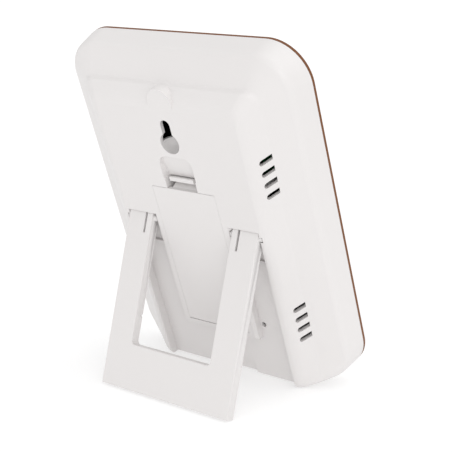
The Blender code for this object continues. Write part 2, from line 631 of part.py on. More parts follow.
def build_door(parent, looks):
    """Battery door on an empty at the line it tilts about, and the tongue of its latch."""
    hinge = bpy.data.objects.new("door_axis", None)
    hinge.parent = parent
    hinge.location = (0, DOOR_PIVOT_Y, DOOR_BOTTOM_Z)
    bpy.context.scene.collection.objects.link(hinge)
    y0, z0 = DOOR_PIVOT_Y, DOOR_BOTTOM_Z
    door = make("battery_door", box((-DOOR_HALF_WIDTH, -DOOR_THICKNESS - y0, 0),
                                    (DOOR_HALF_WIDTH, -y0, DOOR_TOP_Z - z0), 0.25 * MM), hinge, looks["abs"])
    for side in (1, -1):
        ends = sorted((side * 5.1 * MM, side * 8.9 * MM))
        tab = box((ends[0], -3.3 * MM - y0, -2.0 * MM), (ends[1], -1.2 * MM - y0, 3 * MM))
        add(door, make(f"add_tab_{side}", tab, hinge))
        under = box((ends[0] - 1 * MM, -2.2 * MM - y0, -3.0 * MM), (ends[1] + 1 * MM, 1 * MM - y0, 0))
        cut(door, make(f"cut_tab_{side}", under, hinge))
    arm = [(-0.8, -25.6), (-2.4, -25.6), (-5.9, -24.9), (-6.3, -24.2), (-6.3, -23.2), (-5.5, -23.2),
           (-5.3, -23.9), (-2.2, -24.85), (-0.8, -24.85)]
    half = LATCH_HALF_WIDTH
    arm_shape = prism([(y * MM - y0, z * MM - z0) for y, z in arm], "x", -half, half)
    add(door, make("add_latch_arm", arm_shape, hinge))

    flex = bpy.data.objects.new("latch_axis", None)
    flex.parent = hinge
    pivot = Vector((0, -5.9 * MM, -22.9 * MM))
    flex.location = pivot - Vector((0, y0, z0))
    bpy.context.scene.collection.objects.link(flex)
    tongue = [(-6.3, -22.85), (-5.5, -22.85), (-4.6, -22.0), (-1.7, -21.3), (-1.2, -20.9), (-0.9, -19.9),
              (-1.3, -19.65), (-2.4, -20.2), (-5.0, -20.9), (-6.0, -21.6)]
    shape = prism([(y * MM - pivot.y, z * MM - pivot.z) for y, z in tongue], "x", -half, half)
    make("latch_tongue", shape, flex, looks["abs"])


def stand_length():
    """Length below the pivot that brings the open stand's lower edge to the casing's ground."""
    ground = (BOTTOM_EDGE * math.sin(LEAN) + (BOTTOM_Z + BOTTOM_EDGE) * math.cos(LEAN) - BOTTOM_EDGE)
    pivot = -PIVOT_Y * math.sin(LEAN) + PIVOT_Z * math.cos(LEAN)
    tilt = STAND_OPEN - LEAN
    front = STAND_THICKNESS - PIVOT_TO_BACK
    return (pivot - ground - front * math.sin(tilt)) / math.cos(tilt), ground


def build_stand(parent, looks):
    """U-shaped stand on an empty at its hinge, drawn folded and turned open."""
    hinge = bpy.data.objects.new("stand_axis", None)
    hinge.parent = parent
    hinge.location = (0, PIVOT_Y, PIVOT_Z)
    hinge.rotation_euler = (STAND_OPEN, 0, 0)
    bpy.context.scene.collection.objects.link(hinge)
    length, _ = stand_length()
    back, front = PIVOT_TO_BACK, PIVOT_TO_BACK - STAND_THICKNESS
    edge = 0.35 * MM
    rear_round, front_round = 1.0 * MM, 1.7 * MM
    profile = (arc((back - rear_round, PIVOT_TO_TOP - rear_round), rear_round, 0, 90, 4)
               + arc((front + front_round, PIVOT_TO_TOP - front_round), front_round, 90, 180, 6)
               + [(front, -length + edge), (front + edge, -length), (back - edge, -length),
                  (back, -length + edge)])
    stand = make("stand", prism(profile, "x", -STAND_OUTER, STAND_OUTER), hinge, looks["abs"])
    bar_top = -length + STAND_BAR
    window = rounded_outline(STAND_INNER, 10 * MM, bar_top, 1.0 * MM, 1.6 * MM, 4)
    cut(stand, make("cut_window", prism(window, "y", -10 * MM, 10 * MM), hinge))
    for side in (1, -1):
        slit_end = 0.49 * MM
        slit = rounded_outline(SLIT_WIDTH / 2, 5 * MM, PIVOT_TO_TOP - SLIT_LENGTH, 0.2 * MM, slit_end, 4)
        shape = prism([(x + side * SLIT_X, z) for x, z in slit], "y", -10 * MM, 10 * MM)
        cut(stand, make(f"cut_slit_{side}", shape, hinge))
        inner = sorted((side * (ISLAND_HALF_WIDTH - 0.45 * MM), side * (STAND_INNER + 1 * MM)))
        outer = sorted((side * (STAND_OUTER - 1 * MM), side * (RECESS_HALF_WIDTH + 0.75 * MM)))
        for name, ends in (("inner", inner), ("outer", outer)):
            add(stand, make(f"add_pin_{name}_{side}", rod((0, 0), "x", PIN_RADIUS, *ends, 20), hinge))


def screw(name, place, head_y, head_radius, shank_end, parent, look):
    """Pan-head screw along +y with a cross recess in its head."""
    height, shank, length = 1.1 * MM, 0.75 * MM, shank_end - head_y
    profile = [(0, 0), (head_radius - 0.4 * MM, 0), (head_radius, 0.35 * MM), (head_radius, height),
               (shank, height), (shank, length - 0.5 * MM), (0, length)]
    turn = Matrix.Translation((place[0], head_y, place[1])) @ Matrix.Rotation(-math.pi / 2, 4, "X")
    made = make(name, turned(profile, turn, 20), parent, look)
    arm, thick = head_radius * 0.62, 0.28 * MM
    cross = [(thick, arm), (-thick, arm), (-thick, thick), (-arm, thick), (-arm, -thick),
             (-thick, -thick), (-thick, -arm), (thick, -arm), (thick, -thick), (arm, -thick),
             (arm, thick), (thick, thick)]
    shape = prism([(x + place[0], z + place[1]) for x, z in cross], "y", head_y - 1 * MM, head_y + 0.6 * MM)
    cut(made, make(f"cut_{name}", shape, parent))


def build_screws(parent, looks):
    """Four screws that hold the display's carrier, and four that hold the main board."""
    for side, hand in ((1, "left"), (-1, "right")):
        for level, row in zip(CASE_SCREW_Z, ("top", "bottom")):
            screw(f"case_screw_{row}_{hand}", (side * CASE_SCREW_X, level), -20.9 * MM, 2.1 * MM,
                  -13.0 * MM, parent, looks["steel"])
        for level, row in zip(BOARD_SCREW_Z, ("top", "bottom")):
            screw(f"board_screw_{row}_{hand}", (side * BOARD_SCREW_X, level), -17.55 * MM, 1.9 * MM,
                  -10.6 * MM, parent, looks["steel"])


def main():
    """Clears the scene and builds the frame, leaning on its stand."""
    for existing in list(bpy.data.objects):
        bpy.data.objects.remove(existing)
    white = (0.86, 0.855, 0.84)
    looks = {
        "abs": material("white_abs", white, 0.42),
        "abs_inner": material("white_abs_inner", (0.82, 0.82, 0.81), 0.5),
        "panel": material("brown_veneer_panel", (0.23, 0.125, 0.06), 0.45),
        "window": material("acrylic_window", (0.04, 0.04, 0.045), 0.06, alpha=0.4),
        "lcd": material("lcd_glass", (0.015, 0.016, 0.018), 0.12),
        "steel": material("zinc_plated_steel", (0.62, 0.62, 0.6), 0.35, 1.0),
        "nickel": material("nickel_plated_spring_steel", (0.72, 0.7, 0.66), 0.28, 1.0),
        "board": material("green_circuit_board", (0.03, 0.16, 0.07), 0.45),
        "chip": material("black_epoxy", (0.02, 0.02, 0.02), 0.5),
        "socket": material("beige_nylon", (0.75, 0.7, 0.58), 0.5),
        "flex": material("amber_polyimide", (0.55, 0.26, 0.05), 0.35),
        "red": material("red_pvc", (0.5, 0.03, 0.03), 0.5),
        "black": material("black_pvc", (0.02, 0.02, 0.02), 0.5),
        "cell": material("green_cell_sleeve", (0.05, 0.22, 0.09), 0.35),
    }
    _, ground = stand_length()
    casing = bpy.data.objects.new("casing_frame", None)
    casing.rotation_euler = (-LEAN, 0, 0)
    casing.location = (0, STANDING_Y, -ground)
    bpy.context.scene.collection.objects.link(casing)
    build_rear_cover(casing, looks["abs"])
    build_front(casing, looks)
    build_boards(casing, looks)
    build_battery(casing, looks)
    build_door(casing, looks)
    build_stand(casing, looks)
    build_screws(casing, looks)
    bpy.context.view_layer.update()


main()
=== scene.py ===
"""Looks of a small digital photo frame: its moulded white back with vents, keyhole and battery door,
the fold-out stand, the veneered front with its display, and the finish of every piece inside.

Pieces are drawn in the casing's own frame: x across, y out of the back (0 at its flat face), z up from
the keyhole's level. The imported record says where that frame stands, and finished meshes are moved there.
"""

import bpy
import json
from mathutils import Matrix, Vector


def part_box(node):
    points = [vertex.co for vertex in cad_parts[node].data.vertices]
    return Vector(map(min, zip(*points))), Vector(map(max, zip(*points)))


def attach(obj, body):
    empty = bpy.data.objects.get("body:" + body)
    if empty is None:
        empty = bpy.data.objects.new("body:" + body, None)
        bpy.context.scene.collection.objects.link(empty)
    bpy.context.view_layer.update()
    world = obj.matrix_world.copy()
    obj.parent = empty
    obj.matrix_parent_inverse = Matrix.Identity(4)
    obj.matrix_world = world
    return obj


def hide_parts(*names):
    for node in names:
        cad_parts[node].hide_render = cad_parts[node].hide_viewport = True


bl_info = {
    "name": "Digital Photo Frame",
    "version": (1, 0, 0),
    "blender": (4, 5, 0),
    "location": "3D View > Sidebar > Photo Frame",
    "description": "Builds the visible surfaces of a small digital photo frame on a fold-out stand",
    "category": "Add Mesh",
}

import json
import math

import bmesh
import bpy
from bpy.props import FloatProperty, FloatVectorProperty, IntProperty, PointerProperty
from mathutils import Matrix, Vector

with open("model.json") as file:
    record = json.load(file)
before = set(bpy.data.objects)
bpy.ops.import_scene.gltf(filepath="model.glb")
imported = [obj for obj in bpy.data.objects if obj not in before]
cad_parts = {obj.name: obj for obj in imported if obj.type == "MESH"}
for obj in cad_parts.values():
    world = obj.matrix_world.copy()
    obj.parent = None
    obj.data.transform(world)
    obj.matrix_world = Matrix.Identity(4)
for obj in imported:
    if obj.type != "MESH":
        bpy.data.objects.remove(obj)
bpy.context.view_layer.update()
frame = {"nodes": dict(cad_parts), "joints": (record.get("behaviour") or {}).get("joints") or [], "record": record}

MM = 0.001
JOINTS = {joint["name"]: joint for joint in frame["joints"]}
MOUNTS = {mount["name"]: mount for mount in frame["record"]["mounts"]}
KEYHOLE_Z = -4.2 * MM
ARC_STEPS = 16
EDGE_STEPS = 6


def casing_place():
    """Matrix from the casing's own frame to where it stands, read off the record's mounts."""
    out_of_back = Vector(MOUNTS["back_face"]["axis"])
    turn = Matrix.Rotation(math.atan2(out_of_back.z, out_of_back.y), 4, "X")
    keyhole = Vector(MOUNTS["keyhole"]["pos_m"])
    return Matrix.Translation(keyhole - turn @ Vector((0, 0, KEYHOLE_Z))) @ turn


CASING = casing_place()


def joint_point(name):
    """A joint's point in the casing's own frame."""
    return CASING.inverted() @ Vector(JOINTS[name]["pos_m"])


STAND_PIVOT = joint_point("stand_fold")
STAND_OPEN = math.radians(JOINTS["stand_fold"]["range_deg"][1])
DOOR_PIVOT = joint_point("door_tilt")


# Properties ----------------------------------------------------------------------------------------

def length(name, description, millimetres):
    """A size property, given in millimetres and held in metres."""
    return FloatProperty(name=name, description=description, default=millimetres * MM, unit="LENGTH",
                         precision=5)


def number(name, description, default):
    """A plain number property."""
    return FloatProperty(name=name, description=description, default=default)


def angle(name, description, degrees):
    """An angle property, given in degrees and held in radians."""
    return FloatProperty(name=name, description=description, default=math.radians(degrees), subtype="ANGLE")


def linear(hex_colour):
    """Linear colour with alpha 1 from an sRGB hex value."""
    values = [int(hex_colour[i:i + 2], 16) / 255 for i in (1, 3, 5)]
    return (*((v / 12.92 if v <= 0.04045 else ((v + 0.055) / 1.055) ** 2.4) for v in values), 1.0)


def colour(name, description, hex_colour):
    """A colour property, given as an sRGB hex value and held linear."""
    return FloatVectorProperty(name=name, description=description, default=linear(hex_colour), size=4,
                               subtype="COLOR", min=0.0, max=1.0)


class CasingSizes(bpy.types.PropertyGroup):
    half_width: length("Half width", "Half of the casing's width at the front panel", 54.2)
    top: length("Top", "Top edge above the keyhole's level", 30.9)
    bottom: length("Bottom", "Bottom edge, below the keyhole's level", -113.2)
    corner: length("Corner radius", "Rounding of the casing's corners at the front panel", 16.4)
    rim: length("Rim depth", "Front edge of the moulding, behind the flat back", -21.3)
    wall: length("Wall", "Thickness of the moulded wall", 1.5)
    crease_half_width: length("Crease half width", "Half width where the side wall meets the ring", 52.0)
    crease_top: length("Crease top", "Top of the line where the wall meets the ring", 29.2)
    crease_depth: length("Crease depth", "Depth of that line behind the flat back", -11.6)
    foot_half_width: length("Pod foot half width", "Half width of the raised pod at its foot", 42.0)
    foot_top: length("Pod foot top", "Top of the pod's foot", 18.4)
    foot_depth: length("Pod foot depth", "Depth of the pod's foot behind the flat back", -5.8)
    pod_half_width: length("Pod half width", "Half width of the flat back", 34.4)
    pod_top: length("Pod top", "Top of the flat back", 12.0)
    bottom_edge: length("Bottom edge", "Rounding of the pod's edges, which the casing stands on", 3.4)
    pod_step: number("Pod step", "How far up its slope the pod's top edge stands", 0.26)
    step_rise: length("Step rise", "How much higher that edge stands than the slope", 1.5)
    boss_radius: length("Boss radius", "Radius of the half-round boss above the keyhole", 5.7)
    boss_height: length("Boss level", "Level of the boss's centre", 12.6)


class OpeningSizes(bpy.types.PropertyGroup):
    recess_half_width: length("Recess half width", "Half width of the stand's recess", 32.3)
    recess_top: length("Recess top", "Top of the stand's recess", -38.0)
    recess_depth: length("Recess depth", "Depth of the stand's recess", 3.7)
    island_half_width: length("Island half width", "Half width of the island round the door", 18.9)
    island_bottom: length("Island bottom", "Lower end of the island", -91.8)
    island_chamfer: length("Island chamfer", "Chamfer along the island's edges", 1.1)
    keyhole_radius: length("Keyhole radius", "Radius of the round hanging hole", 4.4)
    slot_half: length("Keyhole slot", "Half width of the slot above the round hole", 2.25)
    slot_top: length("Keyhole slot centre", "Level of the centre of the slot's round end", 3.4)
    vent_width: length("Vent width", "Width of one vent slot", 2.2)
    vent_pitch: length("Vent pitch", "Distance from one vent slot to the next", 4.65)
    vent_slant: number("Vent slant", "Rise of a slot for each unit of its length", 0.46)
    vent_upper: length("Upper vents", "Level of the upper group's first slot", -9.6)
    vent_lower: length("Lower vents", "Level of the lower group's first slot", -74.6)
    vents: IntProperty(name="Vents per group", description="Slots in each group", default=4, min=1)
    reset_radius: length("Reset hole radius", "Radius of the small hole beside the island", 1.2)


class MovingSizes(bpy.types.PropertyGroup):
    stand_outer: length("Stand half width", "Half of the stand's width", 31.8)
    stand_inner: length("Window half width", "Half width of the stand's window", 19.9)
    stand_thickness: length("Stand thickness", "Thickness of the stand", 4.2)
    stand_bar: length("Bar height", "Height of the bar along the stand's foot", 18.1)
    stand_edge: length("Stand edge", "Rounding of the stand's long edges", 0.45)
    door_half_width: length("Door half width", "Half width of the battery door", 15.3)
    door_top: length("Door top", "Upper edge of the battery door", -24.6)
    door_thickness: length("Door thickness", "Thickness of the battery door", 1.5)
    latch_half_width: length("Latch half width", "Half width of the latch's tongue", 5.9)
    stand_top: length("Stand top", "Reach of the legs above their hinge", 2.34)
    door_gap: length("Door gap", "Gap down each side of the battery door", 0.07)
    door_edge: length("Door edge", "Rounding of the battery door's edges", 0.09)
    small_edge: length("Small edge", "Rounding of the moulded edges", 0.22)


class Finishes(bpy.types.PropertyGroup):
    abs_white: colour("White ABS", "Moulded casing, stand and door", "#DEDBDA")
    abs_inner: colour("Inner ABS", "Display carrier inside the casing", "#EAE8E4")
    veneer_light: colour("Veneer, early wood", "Light bands of the front's veneer", "#9A6B43")
    veneer_dark: colour("Veneer, late wood", "Dark bands of the front's veneer", "#6B4427")
    veneer_edge: colour("Veneer edge", "Scorched edge where the board was laser cut", "#7A4A26")
    sleeve: colour("Cell sleeve", "Shrink sleeve round the cells", "#3F6B4A")


class StageSettings(bpy.types.PropertyGroup):
    azimuth: angle("Azimuth", "Camera's direction round the object", 217.80)
    elevation: angle("Elevation", "Camera's height above the horizon", 14.26)
    distance: length("Distance", "From the camera to the point it looks at", 450.0)
    lens: number("Lens", "Focal length in millimetres", 92.84)
    world: number("Surroundings", "Strength of the white surroundings", 0.72)
    key: number("Key light", "Strength of the soft light from above", 0.85)
    fill: number("Fill light", "Strength of the soft light from behind the object", 0.3)
    side: number("Side light", "Strength of the soft light on the vented flank", 0.62)
    floor_glow: number("Floor glow", "Light given off by the pale floor", 0.42)


# Mesh helpers --------------------------------------------------------------------------------------

def new_object(name, bm):
    """An object from a bmesh, its faces pointing outwards."""
    bmesh.ops.recalc_face_normals(bm, faces=bm.faces)
    mesh = bpy.data.meshes.new(name)
    bm.to_mesh(mesh)
    bm.free()
    made = bpy.data.objects.new(name, mesh)
    bpy.context.scene.collection.objects.link(made)
    return made


def evaluate(piece):
    """Turns a piece with modifiers into a plain mesh of its own."""
    graph = bpy.context.evaluated_depsgraph_get()
    mesh = bpy.data.meshes.new_from_object(piece.evaluated_get(graph))
    piece.modifiers.clear()
    piece.data = mesh
    return piece


def combine(body, tool_meshes, operation):
    """Adds shapes to a body, or cuts them from it, one after another."""
    tools = []
    for number, shape in enumerate(tool_meshes):
        tool = shape if isinstance(shape, bpy.types.Object) else new_object(f"tool_{number}", shape)
        modifier = body.modifiers.new(tool.name, "BOOLEAN")
        modifier.operation = operation
        modifier.solver = "EXACT"
        modifier.object = tool
        tools.append(tool)
    evaluate(body)
    for tool in tools:
        bpy.data.objects.remove(tool)
    return body


def cut(body, tool_meshes):
    return combine(body, tool_meshes, "DIFFERENCE")


def add(body, tool_meshes):
    return combine(body, tool_meshes, "UNION")


def smooth(piece, sharp=50):
    """Shades a piece smooth, apart from edges sharper than an angle in degrees."""
    piece.data.shade_smooth()
    piece.data.set_sharp_from_angle(angle=math.radians(sharp))


def soften(piece, width, segments=2, sharp=32):
    """Merges stray points, rounds the sharp edges, and keeps flat faces shaded flat."""
    stray, flat = 0.004 * MM, math.radians(0.2)
    bm = bmesh.new()
    bm.from_mesh(piece.data)
    bmesh.ops.remove_doubles(bm, verts=bm.verts, dist=stray)
    bmesh.ops.dissolve_limit(bm, angle_limit=flat, verts=bm.verts, edges=bm.edges)
    bm.to_mesh(piece.data)
    bm.free()
    rounding = piece.modifiers.new("rounded edges", "BEVEL")
    rounding.width = width
    rounding.segments = segments
    rounding.limit_method = "ANGLE"
    rounding.angle_limit = math.radians(sharp)
    rounding.miter_outer = "MITER_ARC"
    rounding.use_clamp_overlap = True
    smooth(evaluate(piece))
    weighting = piece.modifiers.new("flat faces", "WEIGHTED_NORMAL")
    weighting.keep_sharp = True
    weighting.weight = 80
    return evaluate(piece)


def finish_piece(piece, place, body, look, slot, *nodes):
    """Moves a mesh to its place, gives it its material, ties it to its body, and hides the imported nodes it
    stands in for.
    """
    piece.data.transform(place)
    if look is not None:
        piece.data.materials.clear()
        piece.data.materials.append(look)
    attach(piece, body)
    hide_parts(*nodes)
    return piece


def box(low, high):
    bm = bmesh.new()
    size = Vector(high) - Vector(low)
    place = Matrix.Translation((Vector(high) + Vector(low)) / 2) @ Matrix.Diagonal((*size, 1))
    bmesh.ops.create_cube(bm, size=1.0, matrix=place)
    return bm


def box_mm(x, y, z):
    """A box from three (low, high) pairs in millimetres."""
    return box([v[0] * MM for v in (x, y, z)], [v[1] * MM for v in (x, y, z)])


def along(axis, a, b, level):
    """A point at (a, b) in the plane across an axis, at a level on that axis."""
    return {"x": (level, a, b), "y": (a, level, b), "z": (a, b, level)}[axis]


def loft(loops):
    """A closed solid through loops with the same number of points."""
    bm = bmesh.new()
    rings = [[bm.verts.new(p) for p in loop] for loop in loops]
    count = len(rings[0])
    for lower, upper in zip(rings, rings[1:]):
        for i in range(count):
            j = (i + 1) % count
            bm.faces.new((lower[i], lower[j], upper[j], upper[i]))
    bm.faces.new(rings[0][::-1])
    bm.faces.new(rings[-1])
    return bm


def prism(outline, axis, start, end):
    """An outline of (a, b) pairs, extruded along an axis."""
    return loft([[along(axis, a, b, level) for a, b in outline] for level in (start, end)])


def arc(centre, radius, first, last, steps=ARC_STEPS):
    """Points of an arc, angles in degrees."""
    angles = [math.radians(first + (last - first) * i / steps) for i in range(steps + 1)]
    return [(centre[0] + radius * math.cos(t), centre[1] + radius * math.sin(t)) for t in angles]


def rounded_outline(half_width, top, bottom, top_radius, bottom_radius, steps=ARC_STEPS):
    """A rectangle with rounded corners, anticlockwise from its right side."""
    points = []
    for number, (side, level, radius) in enumerate(((1, top, top_radius), (-1, top, top_radius),
                                                    (-1, bottom, bottom_radius), (1, bottom, bottom_radius))):
        centre = (side * (half_width - radius), level - radius if level == top else level + radius)
        points += arc(centre, radius, 90 * number, 90 * number + 90, steps)
    return points


def rod(centre, axis, radius, start, end, sides=40):
    """A round bar along an axis, at a centre in the other two directions."""
    return prism(arc(centre, radius, 0, 360 - 360 / sides, sides - 1), axis, start, end)


def turned(profile, sides=64):
    """A solid of revolution round z from (radius, height) pairs whose ends lie on the axis."""
    bm = bmesh.new()
    verts = [bm.verts.new((r, 0, h)) for r, h in profile]
    edges = [bm.edges.new(pair) for pair in zip(verts, verts[1:])]
    bmesh.ops.spin(bm, geom=verts + edges, axis=(0, 0, 1), cent=(0, 0, 0), angle=math.tau, steps=sides,
                   use_merge=True)
    bmesh.ops.remove_doubles(bm, verts=bm.verts, dist=0.001 * MM)
    return bm


def sided(side, near, far):
    """(low, high) of a range given outwards from the middle, on one side of it."""
    return sorted((side * near, side * far))


# Geometry Nodes ------------------------------------------------------------------------------------

def add_node(tree, kind, inputs=None, **settings):
    """Adds a node. Inputs map a socket's name or number to a value, or to the output it is fed from."""
    made = tree.nodes.new(kind)
    for key, value in settings.items():
        setattr(made, key, value)
    for key, value in (inputs or {}).items():
        if isinstance(value, bpy.types.NodeSocket):
            tree.links.new(value, made.inputs[key])
        else:
            made.inputs[key].default_value = value
    return made


def new_tree(name, inputs):
    """A geometry tree with named inputs, and its group input node."""
    tree = bpy.data.node_groups.new(name, "GeometryNodeTree")
    tree.interface.new_socket("Geometry", in_out="INPUT", socket_type="NodeSocketGeometry")
    for label, kind in inputs.items():
        tree.interface.new_socket(label, in_out="INPUT", socket_type=f"NodeSocket{kind}")
    tree.interface.new_socket("Geometry", in_out="OUTPUT", socket_type="NodeSocketGeometry")
    return tree, add_node(tree, "NodeGroupInput")


def close_tree(tree, geometry, material):
    """Ends a tree in Realize Instances and Set Material."""
    real = add_node(tree, "GeometryNodeRealizeInstances", {0: geometry})
    painted = add_node(tree, "GeometryNodeSetMaterial", {0: real.outputs[0], "Material": material})
    add_node(tree, "NodeGroupOutput", {0: painted.outputs[0]})


def run_tree(piece, tree, values):
    """Runs a tree on a piece with values for its named inputs, and keeps the result as a plain mesh."""
    modifier = piece.modifiers.new(tree.name, "NODES")
    modifier.node_group = tree
    for item in tree.interface.items_tree:
        if item.item_type == "SOCKET" and item.in_out == "INPUT" and item.name in values:
            modifier[item.identifier] = values[item.name]
    return evaluate(piece)


def vent_row_tree():
    """Copies one slot down two groups of a row."""
    tree, group = new_tree("vent rows", {"Slots": "Int", "Pitch": "Float", "Upper": "Float",
                                         "Lower": "Float", "Material": "Material"})
    step = add_node(tree, "ShaderNodeMath", {0: group.outputs["Pitch"], 1: -1.0}, operation="MULTIPLY")
    offset = add_node(tree, "ShaderNodeCombineXYZ", {"Z": step.outputs[0]})
    lines = []
    for label in ("Upper", "Lower"):
        start = add_node(tree, "ShaderNodeCombineXYZ", {"Z": group.outputs[label]})
        lines.append(add_node(tree, "GeometryNodeMeshLine", {
            "Count": group.outputs["Slots"], "Start Location": start.outputs[0],
            "Offset": offset.outputs[0]}))
    joined = add_node(tree, "GeometryNodeJoinGeometry", {0: lines[0].outputs[0]})
    tree.links.new(lines[1].outputs[0], joined.inputs[0])
    copies = add_node(tree, "GeometryNodeInstanceOnPoints", {
        "Points": joined.outputs[0], "Instance": group.outputs["Geometry"]})
    close_tree(tree, copies.outputs[0], group.outputs["Material"])
    return tree


def coil_tree():
    """A conical coil spring: a wire swept along a spiral."""
    tree, group = new_tree("coil spring", {"Turns": "Float", "Wide radius": "Float", "Narrow radius": "Float",
                                           "Height": "Float", "Wire radius": "Float",
                                           "Material": "Material"})
    spiral = add_node(tree, "GeometryNodeCurveSpiral", {
        "Resolution": 36, "Rotations": group.outputs["Turns"], "Start Radius": group.outputs["Wide radius"],
        "End Radius": group.outputs["Narrow radius"], "Height": group.outputs["Height"]})
    wire = add_node(tree, "GeometryNodeCurvePrimitiveCircle", {
        "Resolution": 12, "Radius": group.outputs["Wire radius"]})
    swept = add_node(tree, "GeometryNodeCurveToMesh", {
        "Curve": spiral.outputs[0], "Profile Curve": wire.outputs[0], "Fill Caps": True})
    smooth = add_node(tree, "GeometryNodeSetShadeSmooth", {0: swept.outputs[0]})
    close_tree(tree, smooth.outputs[0], group.outputs["Material"])
    return tree


# Materials -----------------------------------------------------------------------------------------

def new_material(name, **sockets):
    """A material with a Principled shader whose constants are set on its own sockets."""
    made = bpy.data.materials.new(name)
    made.use_nodes = True
    shader = made.node_tree.nodes["Principled BSDF"]
    for label, value in sockets.items():
        shader.inputs[label.replace("_", " ")].default_value = value
    return made, made.node_tree, shader


def feed(tree, shader, **sources):
    """Links a shader's sockets to the outputs that they are fed from."""
    for label, source in sources.items():
        tree.links.new(source, shader.inputs[label.replace("_", " ")])


def on_object(tree, stretch=(1, 1, 1)):
    """Object coordinates, scaled along each axis."""
    coordinates = add_node(tree, "ShaderNodeTexCoord")
    return add_node(tree, "ShaderNodeMapping", {
        "Vector": coordinates.outputs["Object"], "Scale": stretch}).outputs[0]


def noise(tree, size_mm, detail=2.0, stretch=(1, 1, 1)):
    """Noise whose blotches are about size_mm across."""
    return add_node(tree, "ShaderNodeTexNoise", {
        "Vector": on_object(tree, stretch), "Scale": 1 / (size_mm * MM), "Detail": detail}).outputs[0]


def brick_grid(tree, colours, unit_mm, width, height, line, offset):
    """Rows of oblongs with lines between them, sized in units, in three sRGB hex colours."""
    first, second, between = (linear(value) for value in colours)
    return add_node(tree, "ShaderNodeTexBrick", {
        "Vector": on_object(tree), "Color1": first, "Color2": second, "Mortar": between,
        "Scale": 1 / (unit_mm * MM), "Mortar Size": line, "Brick Width": width, "Row Height": height},
        offset=offset)


def spread(tree, value, low, high):
    """Maps noise's usual range to low..high."""
    return add_node(tree, "ShaderNodeMapRange", {
        "Value": value, "From Min": 0.3, "From Max": 0.7, "To Min": low, "To Max": high}).outputs[0]


def mix(tree, factor, first, second):
    """Mixes two colours."""
    return add_node(tree, "ShaderNodeMix", {"Factor": factor, 6: first, 7: second},
                    data_type="RGBA").outputs[2]


def shade(value, factor):
    """A colour made lighter or darker by a factor."""
    return (*(min(1.0, c * factor) for c in value[:3]), 1.0)


def bump(tree, shader, height, depth_mm):
    """Raises and sinks the surface by up to a depth."""
    raised = add_node(tree, "ShaderNodeBump", {
        "Height": height, "Distance": depth_mm * MM, "Strength": 1.0})
    feed(tree, shader, Normal=raised.outputs[0])


def moulded_plastic(name, base, roughness, grain_mm=0.35, depth_mm=0.006, ior=1.54, blotch=0.985):
    """Injection-moulded plastic: an even body with slow flow marks and a spark-eroded skin.

    The skin's real grain is about 0.05 mm, and it is drawn coarser so that it shows."""
    made, tree, shader = new_material(name, IOR=ior)
    feed(tree, shader, Base_Color=mix(tree, noise(tree, 22, 3), shade(base, blotch), base),
         Roughness=spread(tree, noise(tree, 5), roughness - 0.05, roughness + 0.05))
    bump(tree, shader, noise(tree, grain_mm, 3), depth_mm)
    return made


def plated_metal(name, base, roughness, brush=(1, 1, 1)):
    """Electroplated steel: bright, slightly cloudy, with fine drawing marks where brush stretches them."""
    made, tree, shader = new_material(name, Metallic=1.0)
    feed(tree, shader, Base_Color=mix(tree, noise(tree, 3, 3), shade(base, 0.86), base),
         Roughness=spread(tree, noise(tree, 0.8, 4, brush), roughness - 0.08, roughness + 0.1))
    bump(tree, shader, noise(tree, 0.4, 2, brush), 0.003)
    return made


def lacquered_veneer(finishes):
    """Wood veneer under satin lacquer: long bands with fine pores along the height."""
    made, tree, shader = new_material("lacquered_veneer", IOR=1.5, Coat_Weight=0.35, Coat_Roughness=0.22)
    bands = add_node(tree, "ShaderNodeTexWave", {
        "Vector": on_object(tree, (1.0, 0.12, 0.09)), "Scale": 1 / (9 * MM), "Distortion": 5.0,
        "Detail": 3.0, "Detail Scale": 1.4}, bands_direction="X")
    pores = noise(tree, 0.45, 3, (1, 0.1, 0.04))
    grain = mix(tree, bands.outputs["Fac"], tuple(finishes.veneer_dark), tuple(finishes.veneer_light))
    pored = mix(tree, spread(tree, pores, 0.0, 0.45), grain, shade(finishes.veneer_dark, 0.7))
    feed(tree, shader, Base_Color=pored, Roughness=spread(tree, pores, 0.38, 0.55))
    bump(tree, shader, pores, 0.02)
    return made


def scorched_edge(finishes):
    """The veneered board's cut edge: browned by the laser, with the board's fibres showing through."""
    made, tree, shader = new_material("scorched_board_edge", IOR=1.5)
    fibres = noise(tree, 1.2, 3, (1, 1, 0.5))
    browned = mix(tree, fibres, shade(finishes.veneer_edge, 0.75), tuple(finishes.veneer_edge))
    feed(tree, shader, Base_Color=browned, Roughness=spread(tree, fibres, 0.6, 0.8))
    bump(tree, shader, fibres, 0.03)
    return made


def clear_acrylic():
    """Cast acrylic sheet: clear, glossy, with the faintest ripple."""
    made, tree, shader = new_material("clear_acrylic", IOR=1.49, Transmission_Weight=1.0,
                                      Base_Color=linear("#F4F6F6"))
    feed(tree, shader, Roughness=spread(tree, noise(tree, 15), 0.02, 0.05))
    bump(tree, shader, noise(tree, 12), 0.002)
    return made


def screen_ink():
    """Black ink printed on the back of the window: deep, with the slight mottle of its screen."""
    made, tree, shader = new_material("black_screen_ink")
    mottle = noise(tree, 0.6)
    feed(tree, shader, Base_Color=mix(tree, mottle, linear("#0B0B0C"), linear("#131314")),
         Roughness=spread(tree, mottle, 0.45, 0.6))
    return made


def display_glass():
    """Liquid-crystal glass, switched off: near black, with its cells drawn 0.5 mm apart to show."""
    made, tree, shader = new_material("display_glass", IOR=1.52, Coat_Weight=0.5, Coat_Roughness=0.08)
    cells = brick_grid(tree, ("#191D20", "#15191C", "#0E1012"), 1.0, 0.5, 0.5, 0.03, 0.0)
    feed(tree, shader, Base_Color=cells.outputs["Color"],
         Roughness=spread(tree, noise(tree, 20), 0.12, 0.2))
    return made


